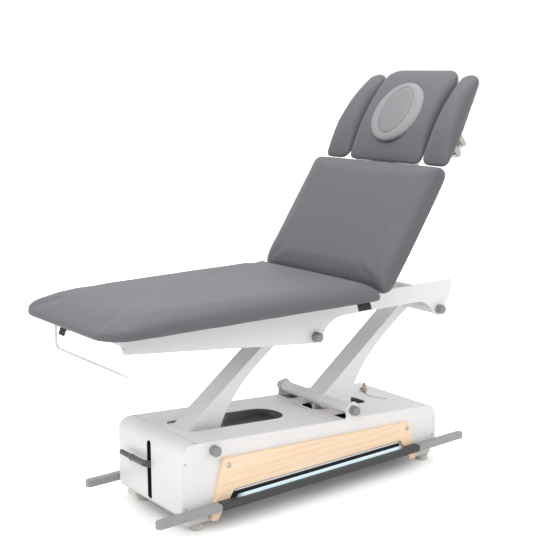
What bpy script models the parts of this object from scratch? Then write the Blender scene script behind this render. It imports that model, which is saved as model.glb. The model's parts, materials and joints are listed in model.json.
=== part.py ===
"""Electric massage table: a lifting base with two parallel arms, an upper frame, a leg pad, a reclining
backrest and a head section with two drop-down armrests.

X runs from the foot end to the head end, Y to the left seen from the foot end, Z up from the floor.
The base is laid out from its foot end; the upper frame from the upper pivot of the foot arm.
"""
import math

import bmesh
import bpy
from mathutils import Matrix, Vector

# Fits between pieces
SEAT = 0.0003
RUN = 0.0004

# Base
BASE_LENGTH = 1.136
BASE_WIDTH = 0.382
BASE_CLEARANCE = 0.049
BASE_HEIGHT_FOOT = 0.2984
BASE_HEIGHT_HEAD = 0.2125
BASE_CORNER = 0.042
BASE_TOE_CORNER = 0.028
SIDE_SHEET = 0.004
COVER_SHEET = 0.003
END_COVER_REACH = 0.060
END_COVER_TOE = 0.030
SLOT_WIDTH = 0.026
SLOT_BOTTOM = 0.065
SLOT_TOP = 0.268
SLOT_Y = -0.002

# Lifting arms
FOOT_PIVOT_X = 0.1216
FOOT_PIVOT_Z = 0.2611
ARM_SPACING = 0.593
ARM_STEP = 0.0135
ARM_LENGTH = 0.518
ARM_ANGLE = 36.05
LIFT_DOWN = 33.0
LIFT_UP = 40.0
ARM_WIDTH = 0.084
ARM_FRONT = 0.030
ARM_REAR = 0.0055
ARM_TOE = 0.034
ARM_FLARE_ALONG = 0.070
ARM_FLARE_DEPTH = 0.125
ARM_FLARE_END = 0.36
ARM_FLARE_LOW_HANDLE = (0.100, -0.060)
ARM_FLARE_HIGH_HANDLE = (0.200, -0.008)
ARM_HEAD_REACH = 0.020
ARM_HEAD_ROUND = 0.012
ARM_TOE_DROP = 0.016
ARM_TOE_ROUND = 0.028
ARM_CURVE_STEPS = 10
LOWER_TUBE_RADIUS = 0.019
UPPER_TUBE_RADIUS = 0.0215
COLLAR_RADIUS = 0.0225
COLLAR_WIDTH = 0.004
SHAFT_RADIUS = 0.0125
CAP_RADIUS = 0.0195
CAP_LENGTH = 0.025
CAP_EDGE = 0.003
EAR_RADIUS = 0.033

# Openings of the top cover
FOOT_OPENING = (0.085, 0.530, 0.074)
HEAD_OPENING_BACK = 0.055
HEAD_OPENING_FRONT = 0.215
HEAD_OPENING_HALF = 0.052
EAR_OPENING_HALF = 0.030
EAR_OPENING_WIDTH = 0.042
EAR_OPENING_INSET = 0.006
EAR_OPENING_CORNER = 0.010
EAR_FOOT_ROUND = 0.004
OPENING_CORNER = 0.030
FOOT_OPENING_ROUND = 0.068

# Base cross members and feet
FOOT_X_INSET = 0.075
FOOT_HEAD_INSET = 0.038
FOOT_SIDE_INSET = 0.032
FOOT_RADIUS = 0.0235
FOOT_HEIGHT = 0.022
FOOT_STEM_RADIUS = 0.006
FOOT_STEM_DEPTH = 0.024
FOOT_STEM_END = 0.001
FOOT_SHOULDER = 0.8
FOOT_RIM = 0.002
MEMBER_WIDTH = 0.040
MEMBER_HEIGHT = 0.040
MEMBER_LIFT = 0.008

# Wooden panels
PANEL_THICKNESS = 0.0122
PANEL_TOP_FOOT = (0.1526, 0.2280)
PANEL_TOP_HEAD = (0.9877, 0.1774)
PANEL_TOE_FOOT = (0.1025, 0.0280)
PANEL_TOE_HEAD = (1.0000, 0.0330)
PANEL_TOE_WIDTH_FOOT = 0.0255
PANEL_TOE_WIDTH_HEAD = 0.0425
PANEL_NOTCH_FOOT = 0.195
PANEL_NOTCH_HEAD = 0.928
PANEL_NOTCH_TOP = 0.117

# Control bars
BAR_LENGTH = 1.364
BAR_DARK_LENGTH = 0.887
BAR_WIDTH = 0.029
BAR_HEIGHT = 0.024
BAR_Z = 0.083
BAR_GAP = 0.0014
BAR_ARM_FOOT = 0.330
BAR_ARM_HEAD = 0.800
BAR_ARM_WIDTH = 0.024
BAR_ARM_REACH = 0.024
BAR_SWING = 4.0
BAR_END_ROUND = 0.0142
BAR_SLOT_PLAY = 0.002
BAR_EDGE = 0.002
BAR_ARM_ROOT = 0.004
BAR_ARM_ROUND = 0.008
LIGHT_LENGTH = 0.750
LIGHT_WIDTH = 0.008
LIGHT_HEIGHT = 0.0055
LIGHT_INSET = 0.002

# Transport castors
CASTOR_FOOT_X = 0.250
CASTOR_HEAD_INSET = 0.106
CASTOR_Z = 0.090
CASTOR_TUBE_RADIUS = 0.011
CASTOR_ARM_X = 0.065
CASTOR_ARM_DROP = 0.047
CASTOR_ARM_Y = 0.075
CASTOR_ARM_SHEET = 0.008
CASTOR_ARM_HALF = 0.012
WHEEL_RADIUS = 0.030
WHEEL_WIDTH = 0.022
WHEEL_GAP = 0.003
WHEEL_RIM = 0.004
AXLE_RADIUS = 0.006
AXLE_END = 0.002
TIE_CRANK = 0.040
TIE_Y = -0.100
TIE_SHEET = 0.006
TIE_HALF = 0.012
TIE_PIN_RADIUS = 0.005
TIE_PLAY = 0.0035
LEVER_TIP_X = -0.022
LEVER_TIP_Z = 0.196
LEVER_SHEET = 0.012
LEVER_HALF = 0.010
LEVER_HUB_WALL = 0.008
LEVER_NOTCH_WIDTH = 0.022
LEVER_NOTCH_DEPTH = 0.028
PEDAL_LENGTH = 0.150
PEDAL_OFFSET = 0.001
PEDAL_RADIUS = 0.0085
PEDAL_THIN_RADIUS = 0.0060
PEDAL_RING = 0.002
PEDAL_RING_WIDTH = 0.008

# Key on the top cover
KEY_X_INSET = 0.120
KEY_Y = 0.076
KEY_HEIGHT = 0.042
KEY_SPAN = 0.017
KEY_SHEET = 0.008
KEY_STEM_RADIUS = 0.007
KEY_FLANGE_RADIUS = 0.011
KEY_FLANGE_TOP = 0.006
KEY_WING_BOTTOM = 0.010
LANYARD_RADIUS = 0.0011
LANYARD_ROUTE = (
    (1.0060, 0.0560), (0.9990, 0.0440), (0.9960, 0.0240), (0.9990, 0.0030),
    (1.0050, -0.0170), (1.0120, -0.0360), (1.0190, -0.0540),
)

# Electrics in the base
LIFT_MEMBER_X = 0.315
LIFT_MEMBER_WIDTH = 0.030
LIFT_MEMBER_HEIGHT = 0.040
LIFT_BODY_LENGTH = 0.270
LIFT_BODY_SIZE = 0.050
LIFT_ROD_RADIUS = 0.012
LIFT_ROD_BACK = 0.300
LIFT_CRANK = 0.085
LIFT_CRANK_SHEET = 0.014
LIFT_EYE_RADIUS = 0.024
LIFT_PIN_RADIUS = 0.005
LIFT_PLAY = 0.0108
FORK_SHEET = 0.006
FORK_TIP = 0.012
FORK_GAP = 0.0015
FORK_CLEAR = 0.002
FORK_NECK = 0.016
FORK_EDGE = 0.003
ROD_RELIEF = 0.0002
BODY_END_WALL = 0.010
BOX_EDGE = 0.004
CONTROL_BOX = (0.180, 0.090, 0.110)
CONTROL_BOX_X = 0.520
CONTROL_BOX_Z = 0.140
INLET_Y = 0.110
INLET_Z = 0.120
INLET_SIZE = (0.016, 0.048, 0.028)
INLET_MOUTH = 0.6
INLET_FLOOR = 0.8

# Upper frame, from the foot arm's upper pivot
FRAME_WIDTH = 0.386
FRAME_SHEET = 0.005
FRAME_RISE = 0.1188
FRAME_FRONT = 0.757
FRAME_MID_LOW = 0.0544
FRAME_FOOT_EDGE = (
    (-0.7346, 0.057, 0.012), (-0.004, -0.0235, 0.020), (0.026, -0.0235, 0.022), (0.040, 0.0095, 0.020),
    (0.110, FRAME_MID_LOW, 0.050),
)
FRAME_HEAD_EDGE = ((-0.098, 0.0409, 0.030), (-0.030, -0.026, 0.022), (0.036, -0.026, 0.030))
FRAME_TAIL = 0.057
FRAME_TAIL_ROUND = 0.012
FRAME_TOP_ROUND = 0.004
BOARD_THICKNESS = 0.012
BOARD_FRONT = 0.730
BOARD_REAR = 0.160
FRONT_MEMBER_X = 0.690
REAR_MEMBER_X = 0.4444
REAR_MEMBER_DROP = 0.024
REAR_MEMBER_NOTCH = 0.095
REAR_MEMBER_HEIGHT = 0.050
REAR_MEMBER_EDGE = 0.004
ROLL_X = 0.7406
ROLL_HALF = 0.223
ROLL_DROP = 0.1215
ROLL_RADIUS = 0.0045
ROLL_BEND = 0.018

# Leg pad
PAD_LIFT = 0.0003
LEG_FOOT = 0.8442
LEG_REAR = 0.1821
LEG_HALF_FOOT = 0.288
LEG_DRAW = 0.0035
LEG_FOOT_CORNER = 0.070
PAD_CORNER = 0.030
LEG_THICKNESS = 0.058
PAD_EDGE = 0.036
PAD_CROWN = 0.004
PAD_TUCK = 0.006
PAD_DRAW = 0.0026

# Backrest
BACK_HINGE_X = 0.2009
BACK_HINGE_RISE = 0.0032
RECLINE = 55.8
HINGE_EAR = 0.010
HINGE_TUBE_RADIUS = 0.009
HINGE_PIN_RADIUS = 0.005
BACK_START = 0.012
BACK_LENGTH = 0.485
BACK_HALF = 0.325
BACK_THICKNESS = 0.062
RAIL_INNER = 0.060
RAIL_WIDTH = 0.025
RAIL_SHEET = 0.014
RAIL_CORNER = 0.004
RAIL_OVERLAP = 0.002
RUNG_LENGTH = 0.200
RUNG_WIDTH = 0.030
BACK_CRANK = 0.060
BACK_CRANK_SHEET = 0.010
BACK_EYE_RADIUS = 0.016
BACK_PIN_RADIUS = 0.0035
BACK_PLAY = 0.0060
BACK_BODY_LENGTH = 0.340
BACK_BODY_SIZE = 0.040
BACK_ROD_RADIUS = 0.009
BACK_ROD_BACK = 0.180
BACK_BODY_GAP = 0.105

# Head section, from its hinge
HEAD_HINGE_GAP = 0.0045
HEAD_LENGTH = 0.391
HEAD_HALF = 0.180
HEAD_THICKNESS = 0.048
HEAD_TUBE_RADIUS = 0.0065
HEAD_PIN_RADIUS = 0.004
HEAD_EYE = 0.007
HEAD_BOARD_START = 0.012
HEAD_BOARD_LENGTH = 0.355
HEAD_BOARD_HALF = 0.165
HEAD_BOARD_CORNERS = (0.010, 0.020)
TONGUE_GAP = 0.004
TONGUE_BACK = 0.001
SPIGOT_SHORT = 0.001
HEAD_STEP = 0.002
HOLE_CENTRE = 0.194
HOLE_ALONG = 0.112
HOLE_ACROSS = 0.107
PLUG_RIM = 0.011
PLUG_RIM_HEIGHT = 0.014
PLUG_GAP = 0.0004
PLUG_DEPTH = 0.030
PLUG_RECESS_ALONG = 0.098
PLUG_RECESS_ACROSS = 0.068
PLUG_RECESS_DEPTH = 0.003
PLUG_RECESS_DRAFT = 0.002
PLUG_LIFT = 0.001

# Armrests beside the head pad
ARMREST_INNER = 0.202
ARMREST_OUTER = 0.311
ARMREST_LENGTH = 0.370
ARMREST_CORNER = 0.070
LINK_S_LOWER = 0.1045
LINK_SPACING = 0.043
LINK_FIXED_N = -0.0610
LINK_LENGTH = 0.060
LINK_ANGLE = 76.5
LINK_SHEET = 0.006
LINK_HALF = 0.010
LINK_PIN_RADIUS = 0.004
LINK_Y = 0.262
BRIDGE_MARGIN = 0.012
BRIDGE_SHEET = 0.020
POST_Y = 0.130
POST_WIDTH = 0.024
LUG_SHEET = 0.006
LUG_BITE = 0.004

# Colours, roughness and metallic value of the finishes
FINISHES = {
    "white_coat": ((0.86, 0.85, 0.83), 0.45, 0.0),
    "upholstery": ((0.18, 0.19, 0.20), 0.55, 0.0),
    "wood": ((0.86, 0.66, 0.45), 0.50, 0.0),
    "grey_plastic": ((0.32, 0.32, 0.34), 0.45, 0.0),
    "dark_bar": ((0.10, 0.105, 0.11), 0.40, 0.0),
    "light_strip": ((0.80, 0.92, 1.00), 0.30, 0.0),
    "rubber": ((0.05, 0.05, 0.05), 0.70, 0.0),
    "foot_plastic": ((0.60, 0.58, 0.54), 0.55, 0.0),
    "steel": ((0.55, 0.55, 0.56), 0.35, 1.0),
    "beige_plastic": ((0.52, 0.42, 0.33), 0.50, 0.0),
    "plug_plastic": ((0.39, 0.38, 0.40), 0.50, 0.0),
    "board": ((0.62, 0.62, 0.61), 0.60, 0.0),
}

SIDES = (("left", 1.0), ("right", -1.0))
ROUND = 16
ARC_STEPS = 3
SHARED_SIDE = 0.49
WHOLE_SIDE = 0.98
OVAL_STEPS = 28

# Values worked out from the sizes above
BASE_HALF = BASE_WIDTH / 2
BASE_INNER = BASE_HALF - SIDE_SHEET
BASE_FIT = BASE_INNER - SEAT
BASE_SLOPE = (BASE_HEIGHT_FOOT - BASE_HEIGHT_HEAD) / BASE_LENGTH
BAR_CENTRE = BASE_LENGTH / 2
FRAME_HALF = FRAME_WIDTH / 2
FRAME_INNER = FRAME_HALF - FRAME_SHEET
FRAME_FIT = FRAME_INNER - SEAT
ARM_RISE = math.radians(ARM_ANGLE)
LEG_HALF_REAR = BACK_HALF + LEG_DRAW
HEAD_PIVOT = Vector((FOOT_PIVOT_X + ARM_SPACING, 0.0, FOOT_PIVOT_Z + ARM_STEP))
FOOT_PIVOT = Vector((FOOT_PIVOT_X, 0.0, FOOT_PIVOT_Z))
ARM_VECTOR = Vector((math.cos(ARM_RISE), 0.0, math.sin(ARM_RISE))) * ARM_LENGTH
FRAME_ORIGIN = FOOT_PIVOT + ARM_VECTOR
PAD_BOTTOM = FRAME_RISE + PAD_LIFT
BACK_HINGE = FRAME_ORIGIN + Vector((BACK_HINGE_X, 0.0, FRAME_RISE + BACK_HINGE_RISE))
BACK_BOTTOM = PAD_BOTTOM - FRAME_RISE - BACK_HINGE_RISE
RAIL_TOP = BACK_BOTTOM - SEAT
HEAD_HINGE_X = BACK_START + BACK_LENGTH + HEAD_HINGE_GAP
HEAD_HINGE_Z = RAIL_TOP - RAIL_SHEET / 2
HEAD_BOTTOM = BACK_BOTTOM - HEAD_HINGE_Z + HEAD_STEP
TABLE_FRONT = FRAME_ORIGIN.x - LEG_FOOT + PAD_DRAW
TABLE_BACK = BAR_CENTRE + BAR_LENGTH / 2
TABLE_SHIFT = -(TABLE_FRONT + TABLE_BACK) / 2


def base_top(x):
    """Height of the sloping base top at a distance from the foot end."""
    return BASE_HEIGHT_FOOT - BASE_SLOPE * x


# Scene helpers

def clear_scene():
    """Remove every object that is in the scene."""
    for obj in list(bpy.data.objects):
        bpy.data.objects.remove(obj, do_unlink=True)


def collection(name):
    """A new collection linked to the scene."""
    coll = bpy.data.collections.new(name)
    bpy.context.scene.collection.children.link(coll)
    return coll


def finish_material(name):
    """The Principled material of a finish, made on first use."""
    mat = bpy.data.materials.get(name)
    if mat is None:
        colour, roughness, metallic = FINISHES[name]
        mat = bpy.data.materials.new(name)
        mat.use_nodes = True
        shader = mat.node_tree.nodes["Principled BSDF"]
        shader.inputs["Base Color"].default_value = (*colour, 1.0)
        shader.inputs["Roughness"].default_value = roughness
        shader.inputs["Metallic"].default_value = metallic
    return mat


def empty(name, location, parent=None, pitch=0.0):
    """An axis that pieces hang on; a positive pitch in degrees lifts its +X end."""
    obj = bpy.data.objects.new(name, None)
    PARTS.objects.link(obj)
    obj.parent = parent
    obj.location = location
    obj.rotation_euler = (0.0, -math.radians(pitch), 0.0)
    return obj


def piece(name, mesh, finish, parent, location=(0.0, 0.0, 0.0)):
    """A visible piece of the table."""
    mesh.materials.append(finish_material(finish))
    mesh.shade_smooth()
    mesh.set_sharp_from_angle(angle=math.radians(35.0))
    obj = bpy.data.objects.new(name, mesh)
    PARTS.objects.link(obj)
    obj.parent = parent
    obj.location = location
    return obj


def shape(obj, operation, mesh, location=(0.0, 0.0, 0.0)):
    """Join a mesh to a piece, or cut it away, in the piece's own parent frame."""
    tool = bpy.data.objects.new(obj.name + "_tool", mesh)
    CUTTERS.objects.link(tool)
    tool.parent = obj.parent
    tool.location = location
    tool.hide_render = True
    tool.display_type = "WIRE"
    modifier = obj.modifiers.new(operation.lower(), "BOOLEAN")
    modifier.operation = operation
    modifier.object = tool
    modifier.solver = "EXACT"


def join(obj, mesh, location=(0.0, 0.0, 0.0)):
    """Join a mesh to a piece."""
    shape(obj, "UNION", mesh, location)


def cut(obj, mesh, location=(0.0, 0.0, 0.0)):
    """Cut a mesh away from a piece."""
    shape(obj, "DIFFERENCE", mesh, location)


# Outlines

def rounded(corners):
    """Closed outline through corners given as (x, y, radius), each rounded by an arc.

    An arc takes up to half of a side that it shares with another arc, and nearly all of a side that
    ends sharp.
    """
    points = []
    count = len(corners)
    for i in range(count):
        here = Vector(corners[i][:2])
        before = Vector(corners[i - 1][:2])
        after = Vector(corners[(i + 1) % count][:2])
        radius = corners[i][2]
        a = (before - here).normalized()
        b = (after - here).normalized()
        half = math.acos(max(-1.0, min(1.0, a.dot(b)))) / 2
        if radius <= 0.0 or half > math.radians(89.0):
            points.append(here)
            continue
        before_share = SHARED_SIDE if corners[i - 1][2] > 0.0 else WHOLE_SIDE
        after_share = SHARED_SIDE if corners[(i + 1) % count][2] > 0.0 else WHOLE_SIDE
        reach = min(radius / math.tan(half), before_share * (before - here).length,
                    after_share * (after - here).length)
        radius = reach * math.tan(half)
        centre = here + (a + b).normalized() * (radius / math.sin(half))
        start = here + a * reach - centre
        end = here + b * reach - centre
        sweep = start.angle_signed(end)
        for k in range(ARC_STEPS + 1):
            points.append(centre + rotated(start, -sweep * k / ARC_STEPS))
    return points


def rotated(vector, angle):
    """A 2D vector turned counterclockwise by an angle in radians."""
    c, s = math.cos(angle), math.sin(angle)
    return Vector((c * vector.x - s * vector.y, s * vector.x + c * vector.y))


def rectangle(x0, y0, x1, y1, radius=0.0):
    """Closed rectangle outline with rounded corners."""
    return rounded([(x0, y0, radius), (x1, y0, radius), (x1, y1, radius), (x0, y1, radius)])


def oval(x, y, along, across, count=ROUND):
    """Closed ellipse outline."""
    turn = 2 * math.pi / count
    return [Vector((x + along * math.cos(turn * k), y + across * math.sin(turn * k))) for k in range(count)]


def circle(x, y, radius, count=ROUND):
    """Closed circle outline."""
    return oval(x, y, radius, radius, count)


def stadium(x0, y0, x1, y1, half):
    """Outline of a bar with round ends about the line between two points."""
    a, b = Vector((x0, y0)), Vector((x1, y1))
    along = (b - a).normalized() * half
    points = []
    for centre, start in ((b, -math.pi / 2), (a, math.pi / 2)):
        for k in range(2 * ARC_STEPS + 1):
            points.append(centre + rotated(along, start + math.pi * k / (2 * ARC_STEPS)))
    return points


def tapered(hub_half, x, y, tip_half):
    """Outline of a bar from a round hub at the origin to a round tip of another size."""
    along = Vector((x, y)).normalized()
    points = []
    tip, hub = Vector((x, y)), Vector((0.0, 0.0))
    for centre, half, start in ((tip, tip_half, -math.pi / 2), (hub, hub_half, math.pi / 2)):
        for k in range(2 * ARC_STEPS + 1):
            points.append(centre + rotated(along * half, start + math.pi * k / (2 * ARC_STEPS)))
    return points


def curve_mesh(data):
    """The closed mesh of a filled curve, with its caps welded."""
    source = bpy.data.objects.new("outline", data)
    CUTTERS.objects.link(source)
    bpy.context.view_layer.update()
    depsgraph = bpy.context.evaluated_depsgraph_get()
    mesh = bpy.data.meshes.new_from_object(source.evaluated_get(depsgraph))
    bpy.data.objects.remove(source, do_unlink=True)
    bpy.data.curves.remove(data)
    bm = bmesh.new()
    bm.from_mesh(mesh)
    bmesh.ops.remove_doubles(bm, verts=bm.verts, dist=0.00002)
    bmesh.ops.recalc_face_normals(bm, faces=bm.faces)
    bm.to_mesh(mesh)
    bm.free()
    return mesh


SIDE_VIEW = Matrix.Rotation(math.pi / 2, 4, "X")
END_VIEW = Matrix(((0, 0, 1, 0), (1, 0, 0, 0), (0, 1, 0, 0), (0, 0, 0, 1)))


def plate(loops, thickness, view=None):
    """A flat plate of an outline with holes: plan by default, SIDE_VIEW for (x, z), END_VIEW for (y, z)."""
    data = bpy.data.curves.new("outline", "CURVE")
    data.dimensions = "2D"
    data.fill_mode = "BOTH"
    data.extrude = thickness / 2
    for loop in loops:
        spline = data.splines.new("POLY")
        spline.points.add(len(loop) - 1)
        for point, place in zip(spline.points, loop):
            point.co = (place[0], place[1], 0.0, 1.0)
        spline.use_cyclic_u = True
    mesh = curve_mesh(data)
    if view is not None:
        mesh.transform(view)
    return mesh


def tube_path(points, radius, resolution=2):
    """A round rod along a list of points."""
    data = bpy.data.curves.new("outline", "CURVE")
    data.dimensions = "3D"
    data.bevel_depth = radius
    data.bevel_resolution = resolution
    data.use_fill_caps = True
    spline = data.splines.new("POLY")
    spline.points.add(len(points) - 1)
    for point, place in zip(spline.points, points):
        point.co = (*place, 1.0)
    return curve_mesh(data)


def block(size, bevel=0.0):
    """A box about its middle, with its edges bevelled."""
    bm = bmesh.new()
    bmesh.ops.create_cube(bm, size=1.0, matrix=Matrix.Diagonal((*size, 1.0)))
    if bevel > 0.0:
        bmesh.ops.bevel(bm, geom=bm.edges[:], offset=bevel, segments=2, profile=0.5, affect="EDGES")
    mesh = bpy.data.meshes.new("block")
    bm.to_mesh(mesh)
    bm.free()
    return mesh


def cylinder(radius, length, axis="Y", count=ROUND):
    """A round bar about its middle, along an axis."""
    turn = {"X": Matrix.Rotation(math.pi / 2, 4, "Y"), "Y": Matrix.Rotation(math.pi / 2, 4, "X"),
            "Z": Matrix.Identity(4)}[axis]
    bm = bmesh.new()
    bmesh.ops.create_cone(bm, cap_ends=True, segments=count, radius1=radius, radius2=radius,
                          depth=length, matrix=turn)
    mesh = bpy.data.meshes.new("cylinder")
    bm.to_mesh(mesh)
    bm.free()
    return mesh


def turned(profile, axis="Y", count=ROUND):
    """A turned solid: a profile of (radius, distance along the axis), from its far end to its near end."""
    mesh = bpy.data.meshes.new("profile")
    verts = [(radius, 0.0, along) for radius, along in profile]
    mesh.from_pydata(verts, [(i, i + 1) for i in range(len(verts) - 1)], [])
    source = bpy.data.objects.new("profile", mesh)
    CUTTERS.objects.link(source)
    screw = source.modifiers.new("screw", "SCREW")
    screw.steps = count
    screw.render_steps = count
    screw.use_merge_vertices = True
    screw.merge_threshold = 0.00005
    bpy.context.view_layer.update()
    depsgraph = bpy.context.evaluated_depsgraph_get()
    solid = bpy.data.meshes.new_from_object(source.evaluated_get(depsgraph))
    bpy.data.objects.remove(source, do_unlink=True)
    bm = bmesh.new()
    bm.from_mesh(solid)
    bmesh.ops.recalc_face_normals(bm, faces=bm.faces)
    bm.to_mesh(solid)
    bm.free()
    if axis == "Y":
        solid.transform(Matrix.Rotation(-math.pi / 2, 4, "X"))
    return solid


def moved(mesh, offset):
    """The mesh shifted by an offset."""
    mesh.transform(Matrix.Translation(offset))
    return mesh


# Soft pads

def spread(low, high, edge):
    """Cage stations along a side: close together at both edges, even between."""
    inner = high - low - 2 * edge
    return [low, low + 0.3 * edge, low + edge, low + edge + inner / 2, high - edge, high - 0.3 * edge, high]


def cushion(x0, x1, half, bottom, thickness, corner, y_range=None):
    """A crowned pad on a board: a box cage with quarter-round upper edges, tucked-in lower edges,
    rounded plan corners and a crown of (1 - u^2)(1 - v^2), smoothed by subdivision.

    half gives the half width at x; y_range replaces it for a pad to one side. corner gives the plan
    corner radius for the signs of a corner in x and y."""
    bm = bmesh.new()
    bmesh.ops.create_cube(bm, size=2.0)
    for axis, cuts in ((0, 5), (1, 5), (2, 1)):
        edges = [e for e in bm.edges if abs((e.verts[0].co - e.verts[1].co)[axis]) > 0.01]
        bmesh.ops.subdivide_edges(bm, edges=edges, cuts=cuts, use_grid_fill=True)
    xs = spread(x0, x1, PAD_EDGE)
    for vert in bm.verts:
        u, v, w = vert.co
        x = xs[round((u + 1) * 3)]
        low, high = y_range if y_range else (-half(x), half(x))
        y = spread(low, high, PAD_EDGE)[round((v + 1) * 3)]
        inset = max(0.0, min(x - x0, x1 - x, y - low, high - y))
        fall = PAD_EDGE - math.sqrt(max(0.0, PAD_EDGE ** 2 - max(0.0, PAD_EDGE - inset) ** 2))
        side = (1 if u > 0 else -1, 1 if v > 0 else -1)
        radius = corner(*side)
        px = x1 - radius if u > 0 else x0 + radius
        py = high - radius if v > 0 else low + radius
        dx, dy = x - px, y - py
        if dx * side[0] > 0 and dy * side[1] > 0:
            ease = max(abs(dx), abs(dy)) / math.hypot(dx, dy)
            x, y = px + dx * ease, py + dy * ease
        if w > 0.5:
            z = bottom + thickness - fall + PAD_CROWN * (1 - u * u) * (1 - v * v) - PAD_CROWN
        elif w < -0.5:
            z = bottom
            x += PAD_TUCK if u < -0.9 else -PAD_TUCK if u > 0.9 else 0.0
            y += PAD_TUCK if v < -0.9 else -PAD_TUCK if v > 0.9 else 0.0
        else:
            z = bottom + (thickness - PAD_EDGE) * 0.6
        vert.co = (x, y, z)
    bmesh.ops.recalc_face_normals(bm, faces=bm.faces)
    mesh = bpy.data.meshes.new("cushion")
    bm.to_mesh(mesh)
    bm.free()
    return mesh


def soften(obj):
    """Smooth a cage by one level of subdivision."""
    modifier = obj.modifiers.new("soften", "SUBSURF")
    modifier.levels = 1
    modifier.render_levels = 1


# Base

def base_sides():
    """Side sheets with a rounded wedge outline, an ear for the head arm pivot, pivot bores and slots."""
    ear = EAR_RADIUS + SEAT
    px, pz = HEAD_PIVOT.x, HEAD_PIVOT.z
    outline = rounded([
        (0.0, BASE_CLEARANCE, BASE_TOE_CORNER), (BASE_LENGTH, BASE_CLEARANCE, BASE_TOE_CORNER),
        (BASE_LENGTH, BASE_HEIGHT_HEAD, BASE_CORNER), (px + ear, base_top(px + ear), EAR_FOOT_ROUND),
        (px + ear, pz + ear, ear), (px - ear, pz + ear, ear), (px - ear, base_top(px - ear), EAR_FOOT_ROUND),
        (0.0, BASE_HEIGHT_FOOT, BASE_CORNER)])
    bore = SHAFT_RADIUS + SEAT
    loops = [outline, circle(FOOT_PIVOT.x, FOOT_PIVOT.z, bore), circle(px, pz, bore)]
    play = BAR_HEIGHT / 2 + (BAR_ARM_REACH + SIDE_SHEET) * math.sin(math.radians(BAR_SWING)) + BAR_SLOT_PLAY
    for x in (BAR_ARM_FOOT, BAR_ARM_HEAD):
        reach = BAR_ARM_WIDTH / 2 + SEAT
        loops.append(rectangle(x - reach, BAR_Z - play, x + reach, BAR_Z + play))
    for side, sign in SIDES:
        mesh = plate(loops, SIDE_SHEET, SIDE_VIEW)
        piece("base_side_" + side, mesh, "white_coat", ROOT, (0.0, sign * (BASE_HALF - SIDE_SHEET / 2), 0.0))


def base_top_cover():
    """The sloping top sheet between the end covers, with openings for the arms and beside the ears."""
    stretch = math.sqrt(1 + BASE_SLOPE ** 2)
    start = END_COVER_REACH + SEAT
    end = BASE_LENGTH - END_COVER_REACH - SEAT
    px = HEAD_PIVOT.x

    def along(x):
        return (x - start) * stretch

    x0, x1, half = FOOT_OPENING
    loops = [rectangle(0.0, -BASE_FIT, along(end), BASE_FIT)]
    loops.append(rounded([
        (along(x0), -half, OPENING_CORNER), (along(x1), -half, FOOT_OPENING_ROUND),
        (along(x1), half, FOOT_OPENING_ROUND), (along(x0), half, OPENING_CORNER)]))
    loops.append(rectangle(along(px - HEAD_OPENING_BACK), -HEAD_OPENING_HALF,
                           along(px + HEAD_OPENING_FRONT), HEAD_OPENING_HALF, OPENING_CORNER))
    for _, sign in SIDES:
        edge = BASE_FIT - EAR_OPENING_INSET
        y0, y1 = sorted((sign * edge, sign * (edge - EAR_OPENING_WIDTH)))
        loops.append(rectangle(along(px - EAR_OPENING_HALF), y0, along(px + EAR_OPENING_HALF), y1,
                               EAR_OPENING_CORNER))
    mesh = moved(plate(loops, COVER_SHEET), (0.0, 0.0, -COVER_SHEET / 2))
    cover = piece("base_top_cover", mesh, "white_coat", ROOT, (start, 0.0, base_top(start)))
    cover.rotation_euler = (0.0, math.atan(BASE_SLOPE), 0.0)


def end_cover_mesh(height, slope):
    """A sheet at x = 0 that turns under at its toe, rises and bends over into the top."""
    inner = BASE_CORNER - COVER_SHEET
    reach, toe = END_COVER_REACH, END_COVER_TOE
    outline = rounded([
        (toe, BASE_CLEARANCE, 0.0), (0.0, BASE_CLEARANCE, BASE_TOE_CORNER), (0.0, height, BASE_CORNER),
        (reach, height - slope * reach, 0.0), (reach, height - slope * reach - COVER_SHEET, 0.0),
        (COVER_SHEET, height - COVER_SHEET, inner),
        (COVER_SHEET, BASE_CLEARANCE + COVER_SHEET, BASE_TOE_CORNER - COVER_SHEET),
        (toe, BASE_CLEARANCE + COVER_SHEET, 0.0)])
    return plate([outline], 2 * BASE_FIT, SIDE_VIEW)


def end_covers():
    """The foot end cover with its lever slot and the head end cover."""
    foot = piece("foot_end_cover", end_cover_mesh(BASE_HEIGHT_FOOT, BASE_SLOPE), "white_coat", ROOT)
    half = SLOT_WIDTH / 2
    slot = plate([rectangle(SLOT_Y - half, SLOT_BOTTOM, SLOT_Y + half, SLOT_TOP, half)],
                 4 * COVER_SHEET, END_VIEW)
    cut(foot, slot)
    mesh = end_cover_mesh(BASE_HEIGHT_HEAD, -BASE_SLOPE)
    mesh.transform(Matrix.Scale(-1.0, 4, (1.0, 0.0, 0.0)))
    mesh.flip_normals()
    piece("head_end_cover", mesh, "white_coat", ROOT, (BASE_LENGTH, 0.0, 0.0))


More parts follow.
